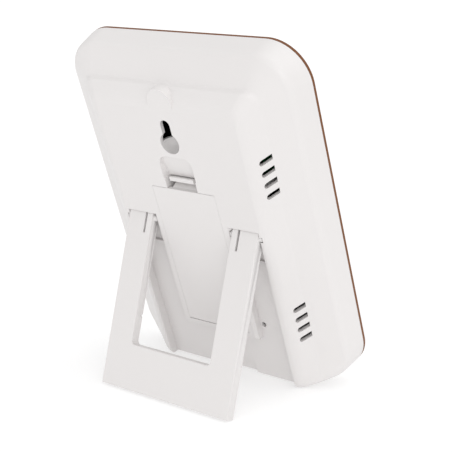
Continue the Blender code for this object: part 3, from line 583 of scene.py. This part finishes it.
def solder_mask():
    """Glass-fibre circuit board under green solder mask, with copper tracks showing as paler lines."""
    made, tree, shader = new_material("green_solder_mask", IOR=1.55, Coat_Weight=0.3, Coat_Roughness=0.2)
    tracks = brick_grid(tree, ("#145C34", "#125430", "#2C8A55"), 4, 1.6, 0.4, 0.04, 0.35)
    clouded = mix(tree, spread(tree, noise(tree, 6), 0.0, 0.5), tracks.outputs["Color"], linear("#0F4A2A"))
    feed(tree, shader, Base_Color=clouded, Roughness=spread(tree, noise(tree, 2), 0.32, 0.48))
    bump(tree, shader, tracks.outputs["Fac"], 0.02)
    return made


def polyimide_ribbon():
    """Amber polyimide film over copper tracks 0.5 mm apart."""
    made, tree, shader = new_material("amber_polyimide", IOR=1.7, Coat_Weight=0.4, Coat_Roughness=0.15)
    track_pitch, wave_period = 0.5 * MM, 0.314
    tracks = add_node(tree, "ShaderNodeTexWave", {
        "Vector": on_object(tree), "Scale": wave_period / track_pitch}, bands_direction="X")
    feed(tree, shader, Base_Color=mix(tree, tracks.outputs["Fac"], linear("#9A5A12"), linear("#D08A2A")),
         Roughness=spread(tree, noise(tree, 2), 0.25, 0.4))
    return made


def make_materials(finishes):
    """Every material, by a short name."""
    return {
        "white": moulded_plastic("satin_white_abs", tuple(finishes.abs_white), 0.42),
        "inner": moulded_plastic("plain_white_abs", tuple(finishes.abs_inner), 0.5),
        "veneer": lacquered_veneer(finishes),
        "edge": scorched_edge(finishes),
        "acrylic": clear_acrylic(),
        "ink": screen_ink(),
        "display": display_glass(),
        "board": solder_mask(),
        "flex": polyimide_ribbon(),
        "zinc": plated_metal("zinc_plated_steel", linear("#C9CACB"), 0.34),
        "nickel": plated_metal("nickel_plated_spring_steel", linear("#CFC8BC"), 0.26, (1, 1, 0.2)),
        "epoxy": moulded_plastic("black_moulding_epoxy", linear("#1B1B1C"), 0.55, 0.25, 0.01, 1.57, 0.8),
        "nylon": moulded_plastic("natural_nylon", linear("#E2D9C0"), 0.5, 0.3, 0.005, 1.53, 0.95),
        "red": moulded_plastic("red_pvc_insulation", linear("#B3261E"), 0.45, 0.3, 0.004, 1.53, 0.9),
        "black": moulded_plastic("black_pvc_insulation", linear("#1A1A1B"), 0.45, 0.3, 0.004, 1.53, 0.8),
        "sleeve": moulded_plastic("plain_shrink_sleeve", tuple(finishes.sleeve), 0.28, 0.6, 0.003,
                                  1.57, 0.93),
    }


_looks = {}


def looks(context):
    """The materials, made once."""
    if not _looks:
        _looks.update(make_materials(context.scene.frame_finishes))
    return _looks


# Back shell ----------------------------------------------------------------------------------------
# Blocks and rooms are ranges across x, along y and up z in millimetres, given outwards from the middle
# where they are on both sides. BEYOND clears the flat back, and HAIR keeps one cut's faces off another's.

BEYOND = 1.0
HAIR = 0.02
BAY_BLOCK = ((-15.9, 15.9), (-17.4, BEYOND), (-91.7, -25.3))
BAY_ROOM = ((-14.7, 14.7), (-16.6, BEYOND), (-86.5, -26.5))
LATCH_BLOCK = ((-9.6, 9.6), (-8.5, BEYOND), (-26.5, -8.3))
LATCH_ROOM = ((-7.5, 7.5), (-7.0, BEYOND), (-27.0, -20.05))
TAB_ROOM = ((4.6, 9.4), (-4.8, -1.8), (-90.6, -84.5))
POCKET_BLOCK_NEAR, POCKET_BLOCK_Z = 17.7, (-55.3, -36.7)
POCKET_BOTTOM, POCKET_DEPTH = -53.8, 4.7
NOTCH_WIDTH, NOTCH_TOP, NOTCH_DEPTH = 1.4, -52.0, 7.6
PIN_SOCKETS, PIN_SOCKET_RADIUS = ((18.0, 19.9), (31.3, 33.5)), 1.55
BOWL_WALL = 1.2
RESET_HOLE = (-20.7, -85.7)
VENT_SIDE, VENT_START, VENT_END = -1, (38.0, -2.65), (42.2, -5.75)

# Posts stand at (x, z) places, and have a radius and an end behind the flat back.
CASE_SCREWS, CASE_POST = ((44.0, 20.6), (44.0, -102.8)), (3.2, -17.3)
BOARD_SCREWS, BOARD_STUD = ((35.0, 14.0), (35.0, -22.3)), (2.4, -14.5)
SWITCH_PLACES, SWITCH_STUD = ((-27.5, -91.5), (-27.5, -79.5)), (1.5, -10.3)


def rounded_stations(stations, reaches):
    """Loops from rim to back, the corner at each inner station rounded off over its reach."""
    loops = [stations[0]]
    for before, here, after, reach in zip(stations, stations[1:], stations[2:], reaches):
        for i in range(EDGE_STEPS + 1):
            t = i / EDGE_STEPS
            loop = []
            for a, b, c in zip(before, here, after):
                start = b + (a - b).normalized() * min(reach, (a - b).length * 0.45)
                end = b + (c - b).normalized() * min(reach, (c - b).length * 0.45)
                loop.append(start.lerp(b, t).lerp(b.lerp(end, t), t))
            loops.append(loop)
    return loops + [stations[-1]]


def pod_step(s, foot, face, foot_corner):
    """A loop just above the pod's foot, which makes a low step along its top edge only."""
    loop = []
    for low, high in zip(foot, face):
        top = min(1.0, max(0.0, (low.z - s.foot_top) / foot_corner + 1.0))
        loop.append(low.lerp(high, 0.08 + s.pod_step * top) + Vector((0, 0, s.step_rise * top)))
    return loop


def casing_shape(s, inset, rim):
    """The casing's solid shape: side wall, sloping ring and raised pod, drawn in by an inset."""
    least = 0.6 * MM

    def station(half_width, top, bottom, top_radius, bottom_radius, y):
        outline = rounded_outline(half_width - inset, top - inset, bottom + inset,
                                  max(top_radius - inset, least), max(bottom_radius - inset, least))
        return [Vector((x, y, z)) for x, z in outline]

    draft = 0.25 * MM
    crease_corner, foot_corner = s.corner - 2.5 * MM, 5.5 * MM
    pod_top_corner, pod_foot_corner = 2.6 * MM, 3.0 * MM
    reaches = (1.9 * MM, 0.6 * MM, 0.6 * MM, s.bottom_edge)
    stations = [
        station(s.half_width, s.top, s.bottom, s.corner, s.corner, rim),
        station(s.crease_half_width, s.crease_top, s.bottom + draft, crease_corner, crease_corner,
                s.crease_depth - inset * 0.3),
        station(s.foot_half_width, s.foot_top, s.bottom + 1.5 * draft, foot_corner, foot_corner,
                s.foot_depth - inset),
        station(s.pod_half_width, s.pod_top, s.bottom + 2 * draft, pod_top_corner, pod_foot_corner, -inset),
    ]
    stations.insert(3, pod_step(s, stations[2], stations[3], foot_corner))
    middle = Vector((0, -inset, (s.pod_top + s.bottom) / 2))
    stations.append([p.lerp(middle, 0.12) for p in stations[-1]])
    return loft(rounded_stations(stations, reaches))


def island_shape(o):
    """The block left standing in the recess, chamfered along its edges."""
    def loop(inset, y):
        half = o.island_half_width - inset
        return [Vector((x, y, z)) for x, z in ((half, o.island_bottom + inset), (half, 0), (-half, 0),
                                               (-half, o.island_bottom + inset))]
    beyond = 2 * MM
    return loft([loop(0, -10 * MM), loop(0, -o.island_chamfer), loop(o.island_chamfer + beyond, beyond)])


def keyhole_outline(o):
    """A round hole with a narrow slot above it."""
    meet = math.degrees(math.acos(o.slot_half / o.keyhole_radius))
    return (arc((0, o.slot_top), o.slot_half, 0, 180, 20)
            + arc((0, KEYHOLE_Z), o.keyhole_radius, 180 - meet, 360 + meet, 44))


def half_bowl(radius, centre_y):
    """The half bowl behind the keyhole's round hole: the lower, inner quarter of a ball."""
    centre = Vector((0, centre_y, KEYHOLE_Z))
    bm = bmesh.new()
    bmesh.ops.create_uvsphere(bm, u_segments=48, v_segments=24, radius=radius,
                              matrix=Matrix.Translation(centre))
    for normal in ((0, 0, 1), (0, 1, 0)):
        halved = bmesh.ops.bisect_plane(bm, geom=bm.verts[:] + bm.edges[:] + bm.faces[:], plane_co=centre,
                                        plane_no=normal, clear_outer=True)
        rim = [e for e in halved["geom_cut"] if isinstance(e, bmesh.types.BMEdge)]
        bmesh.ops.edgeloop_fill(bm, edges=rim)
    return bm


def finger_recess():
    """Arched hollow above the door, with a floor that slopes in towards the latch."""
    half, top, floor_z, radius = 8.1 * MM, -9.8 * MM, -20.1 * MM, 4.0 * MM
    shallow, slope, taper, draft = 0.8, 2.3, 0.025, 0.6 * MM
    outline = (arc((half - radius, top - radius), radius, 0, 90, 12)
               + arc((radius - half, top - radius), radius, 90, 180, 12)
               + [(-half, floor_z), (half, floor_z)])
    mouth = [Vector((x, BEYOND * MM, z)) for x, z in outline]
    floor = []
    for x, z in outline:
        part = (top - z) / (top - floor_z)
        depth = shallow + slope * part
        floor.append(Vector((x * (1 - taper * (BEYOND + depth)), -depth * MM, z - draft * (1 - part))))
    return loft([mouth, floor])


def scoop_shape(s, o):
    """Shallow finger scoop in the recess's floor, at the bottom edge."""
    half_width, top, depth, slope, clear = 11 * MM, -107 * MM, 1.15 * MM, 1.2 * MM, 0.5 * MM

    def loop(y, grow):
        half, low = half_width + grow, s.bottom - BEYOND * MM
        return [Vector((x, y, z)) for x, z in ((half, low), (half, top + grow), (-half, top + grow),
                                               (-half, low))]
    return loft([loop(-o.recess_depth - depth, -slope), loop(-o.recess_depth + clear, clear)])


def vent_slot(width, slant):
    """One slot's cutter, square to the pod's flank: round at the pod's face, cut square at its foot."""
    start, end = (Vector((x * MM, y * MM, 0)) for x, y in (VENT_START, VENT_END))
    down = (end - start).normalized()
    outward = Vector((-down.y, down.x, 0))
    half, far = width / 2, (end - start).length
    outline = [(far, -half), (far, half)] + arc((half, 0), half, 90, 270, 12)
    ends = []
    for reach in (-6 * MM, 6 * MM):
        ring = [start + down * u + outward * reach + Vector((0, 0, v + slant * u)) for u, v in outline]
        ends.append([(VENT_SIDE * p.x, p.y, p.z) for p in ring])
    return loft(ends)


def vent_cutter(o, look):
    """All the slots of the vented flank."""
    values = {"Slots": o.vents, "Pitch": o.vent_pitch, "Upper": o.vent_upper, "Lower": o.vent_lower,
              "Material": look}
    return run_tree(new_object("vents", vent_slot(o.vent_width, o.vent_slant)), vent_row_tree(), values)


def posts(places, post, side=1):
    """Posts or studs at (x, z) places, on one side of the casing."""
    radius, end = post
    return [rod((side * x * MM, z * MM), "y", radius * MM, end * MM, BEYOND * MM) for x, z in places]


def inner_solids(s, o):
    """What the cavity leaves standing: bay walls, pocket blocks, screw posts and board studs."""
    wall = s.wall / MM
    reach = o.recess_half_width / MM + wall
    solids = [
        box_mm((-reach, reach), (-o.recess_depth / MM - wall, BEYOND),
               (s.bottom / MM - BEYOND, o.recess_top / MM + wall)),
        box_mm(*BAY_BLOCK),
        box_mm(*LATCH_BLOCK),
        half_bowl(o.keyhole_radius + BOWL_WALL * MM, -s.wall),
    ]
    for side in (1, -1):
        solids.append(box_mm(sided(side, POCKET_BLOCK_NEAR, reach), (-NOTCH_DEPTH - wall, BEYOND),
                             POCKET_BLOCK_Z))
        solids += posts(CASE_SCREWS, CASE_POST, side) + posts(BOARD_SCREWS, BOARD_STUD, side)
    return solids + posts(SWITCH_PLACES, SWITCH_STUD)


def outer_cuts(s, o, m, look):
    """Everything cut from the outside of the back."""
    beyond = BEYOND * MM
    recess = new_object("recess", box((-o.recess_half_width, -o.recess_depth, s.bottom - beyond),
                                      (o.recess_half_width, beyond, o.recess_top)))
    cut(recess, [island_shape(o)])
    shapes = [recess, vent_cutter(o, look)]
    near, far = o.island_half_width / MM + HAIR, o.recess_half_width / MM - HAIR
    for side in (1, -1):
        shapes.append(box_mm(sided(side, near, far), (-POCKET_DEPTH, BEYOND),
                             (POCKET_BOTTOM, o.recess_top / MM - HAIR)))
        shapes += [box_mm(sided(side, *ends), (-NOTCH_DEPTH, BEYOND), (POCKET_BOTTOM - HAIR, NOTCH_TOP))
                   for ends in ((near, near + NOTCH_WIDTH), (far - NOTCH_WIDTH, far))]
        shapes.append(box_mm(sided(side, *TAB_ROOM[0]), *TAB_ROOM[1:]))
        shapes += [rod((STAND_PIVOT.y, STAND_PIVOT.z), "x", PIN_SOCKET_RADIUS * MM,
                       *sided(side, start * MM, end * MM)) for start, end in PIN_SOCKETS]
    gap, ledge, foot_gap, past_wall = m.door_gap, 0.35 * MM, 0.4 * MM, 0.2 * MM
    shapes += [
        box((-m.door_half_width - gap, -m.door_thickness - ledge, DOOR_PIVOT.z - foot_gap),
            (m.door_half_width + gap, beyond, m.door_top + 2.5 * gap)),
        box_mm(*BAY_ROOM),
        finger_recess(),
        box_mm(*LATCH_ROOM),
        prism(keyhole_outline(o), "y", -s.wall - past_wall, beyond),
        half_bowl(o.keyhole_radius, -s.wall),
        rod([v * MM for v in RESET_HOLE], "y", o.reset_radius, -7 * MM, beyond, 32),
        scoop_shape(s, o),
    ]
    return shapes


class FRAME_OT_back_shell(bpy.types.Operator):
    """Moulded white back with its recess, island, bay, keyhole, vents and posts"""
    bl_idname = "photo_frame.back_shell"
    bl_label = "Back shell"

    def execute(self, context):
        scene = context.scene
        s, o, m = scene.frame_casing, scene.frame_openings, scene.frame_moving
        white = looks(context)["white"]
        cavity = cut(new_object("cavity", casing_shape(s, s.wall, s.rim - 2 * MM)), inner_solids(s, o))
        shell = cut(new_object("back_shell", casing_shape(s, 0, s.rim)), [cavity])
        add(shell, [rod((0, s.boss_height), "y", s.boss_radius, -6.5 * MM, -HAIR * MM, 56)])
        cut(shell, outer_cuts(s, o, m, white))
        soften(shell, m.small_edge)
        finish_piece(shell, CASING, "casing", white, "white_abs", "rear_cover")
        return {"FINISHED"}


# Door, latch, stand and button ---------------------------------------------------------------------

DOOR_TAB = ((5.1, 8.9), (-3.3, -1.2), (-90.1, -85.1))
TAB_STEP = ((4.1, 9.9), (-2.2, BEYOND), (-91.1, -88.1))
LATCH_ARM = ((-0.8, -25.6), (-2.4, -25.6), (-5.9, -24.9), (-6.3, -24.2), (-6.3, -23.2), (-5.5, -23.2),
             (-3.4, -23.7), (-1.6, -24.55), (-0.8, -24.85))
LATCH_TONGUE = ((-6.3, -22.85), (-5.5, -22.85), (-4.6, -22.1), (-2.2, -21.75), (-1.15, -21.7),
                (-0.8, -21.35), (-0.75, -19.95), (-1.1, -19.62), (-2.2, -20.15), (-5.0, -20.9),
                (-6.0, -21.6))
HINGE_PINS, HINGE_PIN_RADIUS = ((18.45, 20.9), (30.3, 33.05)), 1.25 * MM


def both_sides(place):
    """Two boxes, one on each side of the middle."""
    return [box_mm(sided(side, *place[0]), *place[1:]) for side in (1, -1)]


def latch_strip(outline, half_width):
    """A part of the latch: its (y, z) outline in millimetres, carried across its width."""
    return prism([(y * MM, z * MM) for y, z in outline], "x", -half_width, half_width)


class FRAME_OT_battery_lid(bpy.types.Operator):
    """Battery door with its two lower tabs and the arm of its latch"""
    bl_idname = "photo_frame.battery_lid"
    bl_label = "Battery lid"

    def execute(self, context):
        m = context.scene.frame_moving
        lid = new_object("battery_lid", box((-m.door_half_width, -m.door_thickness, DOOR_PIVOT.z),
                                            (m.door_half_width, 0, m.door_top)))
        add(lid, both_sides(DOOR_TAB) + [latch_strip(LATCH_ARM, m.latch_half_width)])
        cut(lid, both_sides(TAB_STEP))
        soften(lid, m.door_edge)
        finish_piece(lid, CASING, "door", looks(context)["white"], "white_abs", "battery_door")
        return {"FINISHED"}


class FRAME_OT_latch_lip(bpy.types.Operator):
    """Springy lip of the door's latch, which a finger pushes down"""
    bl_idname = "photo_frame.latch_lip"
    bl_label = "Latch lip"

    def execute(self, context):
        half_width = context.scene.frame_moving.latch_half_width
        lip = new_object("latch_lip", latch_strip(LATCH_TONGUE, half_width))
        soften(lip, 0.12 * MM)
        finish_piece(lip, CASING, "latch", looks(context)["white"], "white_abs", "latch_tongue")
        return {"FINISHED"}


def stand_place():
    """From the stand's hinge, drawn folded, to the open stand."""
    return CASING @ Matrix.Translation(STAND_PIVOT) @ Matrix.Rotation(STAND_OPEN, 4, "X")


def stand_foot():
    """Distance from the stand's hinge down to its foot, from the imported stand's own corners."""
    to_hinge = stand_place().inverted()
    return min((to_hinge @ v.co).z for v in frame["nodes"]["stand"].data.vertices)


def stand_profile(m, back, front, foot):
    """The leg's outline seen from the side, rounder at the front of its top, eased at its foot."""
    back_round, front_round, edge = 1.0 * MM, 1.7 * MM, 0.35 * MM
    return (arc((back - back_round, m.stand_top - back_round), back_round, 0, 90, 8)
            + arc((front + front_round, m.stand_top - front_round), front_round, 90, 180, 10)
            + [(front, foot + edge), (front + edge, foot), (back - edge, foot), (back, foot + edge)])


def stand_cuts(m, front, foot):
    """The stand's window, the small notch beside it, and the spring slit in each leg's top."""
    through = (-10 * MM, 10 * MM)
    window_bottom = foot + m.stand_bar
    window = rounded_outline(m.stand_inner, 10 * MM, window_bottom, 1.0 * MM, 1.6 * MM, 8)
    notch_level, notch_depth = window_bottom + 11.5 * MM, 1.0 * MM
    slit_middle, slit_half, slit_length = 23.0 * MM, 0.5 * MM, 8.8 * MM
    slit = rounded_outline(slit_half, 5 * MM, m.stand_top - slit_length, 0.2 * MM, 0.49 * MM, 5)
    return [prism(window, "y", *through),
            rod((m.stand_inner, notch_level), "y", 0.5 * MM, -4 * MM, front + notch_depth, 16),
            *(prism([(x + side * slit_middle, z) for x, z in slit], "y", *through) for side in (1, -1))]


class FRAME_OT_stand(bpy.types.Operator):
    """U-shaped fold-out stand, with a spring slit and two pins at the top of each leg"""
    bl_idname = "photo_frame.stand"
    bl_label = "Stand"

    def execute(self, context):
        m = context.scene.frame_moving
        back, foot = 2.05 * MM, stand_foot()
        front = back - m.stand_thickness
        stand = new_object("fold_out_stand", prism(stand_profile(m, back, front, foot), "x",
                                                   -m.stand_outer, m.stand_outer))
        cut(stand, stand_cuts(m, front, foot))
        soften(stand, m.stand_edge, 3)
        add(stand, [rod((0, 0), "x", HINGE_PIN_RADIUS, *sided(side, near * MM, far * MM), 32)
                    for side in (1, -1) for near, far in HINGE_PINS])
        stand.data.set_sharp_from_angle(angle=math.radians(50))
        finish_piece(stand, stand_place(), "stand", looks(context)["white"], "white_abs", "stand")
        return {"FINISHED"}


class FRAME_OT_reset_plunger(bpy.types.Operator):
    """Reset button behind the small hole, with a domed end. Its black epoxy finish is painted shade, standing in
    for the shadow deep in the hole.
    """
    bl_idname = "photo_frame.reset_plunger"
    bl_label = "Reset plunger"

    def execute(self, context):
        centre = sum(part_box("reset_button"), Vector()) / 2
        radius, half, rise = 0.95 * MM, 1.0 * MM, 0.25 * MM
        dome = [(radius * math.cos(t), half - rise + rise * math.sin(t))
                for t in (math.radians(15 * i) for i in range(6))]
        outline = [(0, -half), (radius, -half)] + dome + [(0, half)]
        plunger = new_object("reset_plunger", turned(outline, 40))
        smooth(plunger, 40)
        turn = CASING.to_3x3().to_4x4() @ Matrix.Rotation(-math.pi / 2, 4, "X")
        # The plunger's black is painted shade: it stands in for the shadow deep in the small hole.
        finish_piece(plunger, Matrix.Translation(centre) @ turn, "reset", looks(context)["epoxy"],
                     "black_epoxy", "reset_button")
        return {"FINISHED"}


# Front, display and cells --------------------------------------------------------------------------

PANEL_BACK = -21.5 * MM
PANEL_THICKNESS = 1.2 * MM
WINDOW_HALF = (40.2 * MM, 53.0 * MM)


class FRAME_OT_front(bpy.types.Operator):
    """Veneered front panel, its edge eased where it was cut"""
    bl_idname = "photo_frame.front"
    bl_label = "Front panel"

    def execute(self, context):
        s = context.scene.frame_casing
        middle = (s.top + s.bottom) / 2
        outline = rounded_outline(s.half_width, s.top, s.bottom, s.corner, s.corner, 24)
        panel = new_object("veneered_front", prism(outline, "y", PANEL_BACK - PANEL_THICKNESS, PANEL_BACK))
        hole = rounded_outline(WINDOW_HALF[0], middle + WINDOW_HALF[1], middle - WINDOW_HALF[1], 1.5 * MM,
                               1.5 * MM, 8)
        cut(panel, [prism(hole, "y", PANEL_BACK - 3 * MM, PANEL_BACK + 3 * MM)])
        soften(panel, 0.15 * MM)
        panel.data.materials.clear()
        for name in ("edge", "veneer"):
            panel.data.materials.append(looks(context)[name])
        for polygon in panel.data.polygons:
            polygon.material_index = 1 if polygon.normal.y < -0.9 else 0
        finish_piece(panel, CASING, "casing", None, "brown_veneer", "front_panel")
        return {"FINISHED"}


class FRAME_OT_window(bpy.types.Operator):
    """Clear window with a black border printed on its back"""
    bl_idname = "photo_frame.window"
    bl_label = "Window"

    def execute(self, context):
        s = context.scene.frame_casing
        middle, gap, border = (s.top + s.bottom) / 2, 0.3 * MM, 3.6 * MM

        def outline(inset, radius):
            return rounded_outline(WINDOW_HALF[0] - inset, middle + WINDOW_HALF[1] - inset,
                                   middle - WINDOW_HALF[1] + inset, radius, radius, 8)
        ease = 0.12 * MM
        front = PANEL_BACK - PANEL_THICKNESS + 0.1 * MM
        steps = ((border, PANEL_BACK, 0.6 * MM), (gap, PANEL_BACK, 1.2 * MM),
                 (gap, front + ease, 1.2 * MM), (gap + ease, front, 1.1 * MM))
        loops = [[Vector((x, y, z)) for x, z in outline(inset, radius)] for inset, y, radius in steps]
        window = new_object("display_window_glass", loft(loops))
        materials = looks(context)
        for name in ("acrylic", "ink"):
            window.data.materials.append(materials[name])
        for face in window.data.polygons:
            at_back = abs(face.center.y - PANEL_BACK) < 0.01 * MM
            face.material_index = 1 if at_back and len(face.vertices) == 4 else 0
        finish_piece(window, CASING, "casing", None, "acrylic_window", "display_window")
        return {"FINISHED"}


BAY_SIDES = (("left", 0), ("right", math.pi))


def laid_in_bay(centre, turn_over, height):
    """Takes a shape that stands on the origin to a centre in the bay, turned over by an angle."""
    return (CASING @ Matrix.Translation(centre) @ Matrix.Rotation(turn_over, 4, "X")
            @ Matrix.Translation((0, 0, -height / 2)))


class FRAME_OT_cells(bpy.types.Operator):
    """Two AA cells in plain sleeves with bare steel ends, laid opposite ways"""
    bl_idname = "photo_frame.cells"
    bl_label = "Cells"

    def execute(self, context):
        materials = looks(context)
        radius, full, nub = 7.1, 49.5, 1.0
        profile = [(0, 0.3), (radius - 2.2, 0.3), (radius - 1.7, 0), (radius - 0.6, 0), (radius - 0.1, 0.35),
                   (radius, 0.9), (radius, full - 1.3), (radius - 0.35, full - 0.5),
                   (radius - 1.2, full - 0.3), (radius - 1.6, full - 0.5), (2.9, full - 0.5),
                   (2.7, full - 0.2), (2.6, full + nub - 0.3), (2.3, full + nub), (0, full + nub)]
        sleeve_inner, sleeve_start = (radius - 0.9) * MM, 0.5 * MM
        for hand, turn_over in BAY_SIDES:
            node = f"battery_cell_{hand}"
            centre = CASING.inverted() @ (sum(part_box(node), Vector()) / 2)
            cell = new_object(f"cell_{hand}", turned([(r * MM, h * MM) for r, h in profile]))
            smooth(cell, 35)
            for name in ("sleeve", "nickel"):
                cell.data.materials.append(materials[name])
            for face in cell.data.polygons:
                sleeved = (math.hypot(face.center.x, face.center.y) > sleeve_inner
                           and face.center.z > sleeve_start)
                face.material_index = 0 if sleeved else 1
            finish_piece(cell, laid_in_bay(centre, turn_over, (full + nub) * MM), "casing", None,
                         "cell_sleeve", node)
        return {"FINISHED"}


class FRAME_OT_springs(bpy.types.Operator):
    """Conical contact springs at the flat ends of the cells"""
    bl_idname = "photo_frame.springs"
    bl_label = "Springs"

    def execute(self, context):
        tree, nickel, wire = coil_tree(), looks(context)["nickel"], 0.35 * MM
        for hand, turn_over in BAY_SIDES:
            node = f"spring_{hand}"
            corners = [CASING.inverted() @ v.co for v in frame["nodes"][node].data.vertices]
            low = Vector(min(c[k] for c in corners) for k in range(3))
            high = Vector(max(c[k] for c in corners) for k in range(3))
            height = high.z - low.z - 2 * wire
            values = {"Turns": 4.0, "Wide radius": 4.2 * MM, "Narrow radius": 2.5 * MM, "Height": height,
                      "Wire radius": wire, "Material": nickel}
            coil = run_tree(new_object(f"coil_spring_{hand}", bmesh.new()), tree, values)
            finish_piece(coil, laid_in_bay((low + high) / 2, turn_over, height), "casing", nickel,
                         "nickel_steel", node)
        return {"FINISHED"}


NODE_LOOKS = {
    "inner": ("front_frame",),
    "display": ("lcd_panel",),
    "zinc": ("backlight", "radio_shield", "case_screw_", "board_screw_"),
    "flex": ("lcd_flex",),
    "nylon": ("lcd_socket",),
    "board": ("main_board", "switch_board"),
    "epoxy": ("processor_chip", "memory_chip", "reset_switch"),
    "nickel": ("positive_contact", "negative_contact", "bridge_contact"),
    "red": ("red_lead",),
    "black": ("black_lead", "switch_lead"),
}


class FRAME_OT_inner_finishes(bpy.types.Operator):
    """Finishes of the pieces inside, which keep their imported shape"""
    bl_idname = "photo_frame.inner_finishes"
    bl_label = "Inner finishes"

    def execute(self, context):
        materials = looks(context)
        painted = set()
        for look, starts in NODE_LOOKS.items():
            for name, node in frame["nodes"].items():
                if name.startswith(starts):
                    node.data.materials.clear()
                    node.data.materials.append(materials[look])
                    painted.add(name)
        bare = sorted(n for n, o in frame["nodes"].items() if n not in painted and not o.hide_render)
        if bare:
            raise RuntimeError(f"these pieces have no finish: {bare}")
        return {"FINISHED"}


# Stage ---------------------------------------------------------------------------------------------

def soft_sun(name, towards, strength, softness):
    """A wide soft light from a direction."""
    lamp = bpy.data.lights.new(name, "SUN")
    lamp.energy = strength
    lamp.angle = math.radians(softness)
    made = bpy.data.objects.new(name, lamp)
    made.rotation_mode = "QUATERNION"
    made.rotation_quaternion = Vector(towards).to_track_quat("Z", "Y")
    bpy.context.scene.collection.objects.link(made)


# The floor's (radius, height) outline is in metres, and what the camera looks at is in millimetres from
# the casing's origin.
FLOOR_PROFILE = ((0, 0), (6.5, 0), (7.3, 0.12), (7.8, 0.4), (8.0, 0.8))
AIM_FROM_CASING = (-10.75, -21.66, -37.75)
WHITE = (1.0, 1.0, 1.0, 1.0)


def pale_floor(settings):
    """A matt paper floor that glows a little, with a low rim that hides the horizon."""
    floor = new_object("floor", turned(FLOOR_PROFILE, 96))
    paper, tree, shader = new_material("pale_paper_floor", Roughness=0.9, Specular_IOR_Level=0.0,
                                       Emission_Color=WHITE, Emission_Strength=settings.floor_glow)
    feed(tree, shader, Base_Color=mix(tree, noise(tree, 40), linear("#CFCFCF"), linear("#D2D2D2")))
    floor.data.materials.append(paper)


def white_surroundings(strength):
    """The even white all round the object."""
    world = bpy.data.worlds.new("white surroundings")
    world.use_nodes = True
    background = world.node_tree.nodes["Background"]
    background.inputs["Color"].default_value = WHITE
    background.inputs["Strength"].default_value = strength
    return world


def place_camera(scene, settings):
    """The camera, round the object by an azimuth and an elevation from the point it looks at."""
    camera = bpy.data.objects.new("camera", bpy.data.cameras.new("camera"))
    camera.data.sensor_width = 36.0
    camera.data.lens = settings.lens
    camera.data.clip_start = 10 * MM
    a, e = settings.azimuth, settings.elevation
    away = Vector((math.sin(a) * math.cos(e), -math.cos(a) * math.cos(e), math.sin(e)))
    aim = CASING.translation + Vector(AIM_FROM_CASING) * MM
    camera.location = aim + away * settings.distance
    camera.rotation_mode = "QUATERNION"
    camera.rotation_quaternion = away.to_track_quat("Z", "Y")
    scene.collection.objects.link(camera)
    scene.camera = camera


class FRAME_OT_stage(bpy.types.Operator):
    """Pale floor, soft light and the camera"""
    bl_idname = "photo_frame.stage"
    bl_label = "Stage"

    def execute(self, context):
        scene, settings = context.scene, context.scene.frame_stage
        pale_floor(settings)
        scene.world = white_surroundings(settings.world)
        scene.view_settings.view_transform = "Standard"
        soft_sun("key", (-0.35, -0.1, 0.93), settings.key, 70)
        soft_sun("side", (-0.7, 0.65, 0.3), settings.side, 40)
        soft_sun("fill", (-0.25, 0.93, 0.25), settings.fill, 50)
        place_camera(scene, settings)
        return {"FINISHED"}


# Panel and registration ----------------------------------------------------------------------------

OPERATORS = (FRAME_OT_back_shell, FRAME_OT_battery_lid, FRAME_OT_latch_lip, FRAME_OT_stand,
             FRAME_OT_reset_plunger, FRAME_OT_front, FRAME_OT_window, FRAME_OT_cells, FRAME_OT_springs,
             FRAME_OT_inner_finishes, FRAME_OT_stage)
GROUPS = {"frame_casing": CasingSizes, "frame_openings": OpeningSizes, "frame_moving": MovingSizes,
          "frame_finishes": Finishes, "frame_stage": StageSettings}


class FRAME_PT_sidebar(bpy.types.Panel):
    """Lists the pieces in the order they are built"""
    bl_idname = "FRAME_PT_sidebar"
    bl_label = "Digital Photo Frame"
    bl_space_type = "VIEW_3D"
    bl_region_type = "UI"
    bl_category = "Photo Frame"

    def draw(self, context):
        column = self.layout.column(align=True)
        for operator in OPERATORS:
            column.operator(operator.bl_idname)
        for group in GROUPS:
            settings = getattr(context.scene, group)
            section = self.layout.column(align=True)
            for name in settings.__annotations__:
                section.prop(settings, name)


def register():
    for name, group in GROUPS.items():
        bpy.utils.register_class(group)
        setattr(bpy.types.Scene, name, PointerProperty(type=group))
    for cls in (*OPERATORS, FRAME_PT_sidebar):
        bpy.utils.register_class(cls)


def unregister():
    for cls in reversed((*OPERATORS, FRAME_PT_sidebar)):
        bpy.utils.unregister_class(cls)
    for name, group in reversed(GROUPS.items()):
        delattr(bpy.types.Scene, name)
        bpy.utils.unregister_class(group)


def main():
    register()
    for operator in OPERATORS:
        group, name = operator.bl_idname.split(".")
        getattr(getattr(bpy.ops, group), name)()


if __name__ == "__main__":
    main()
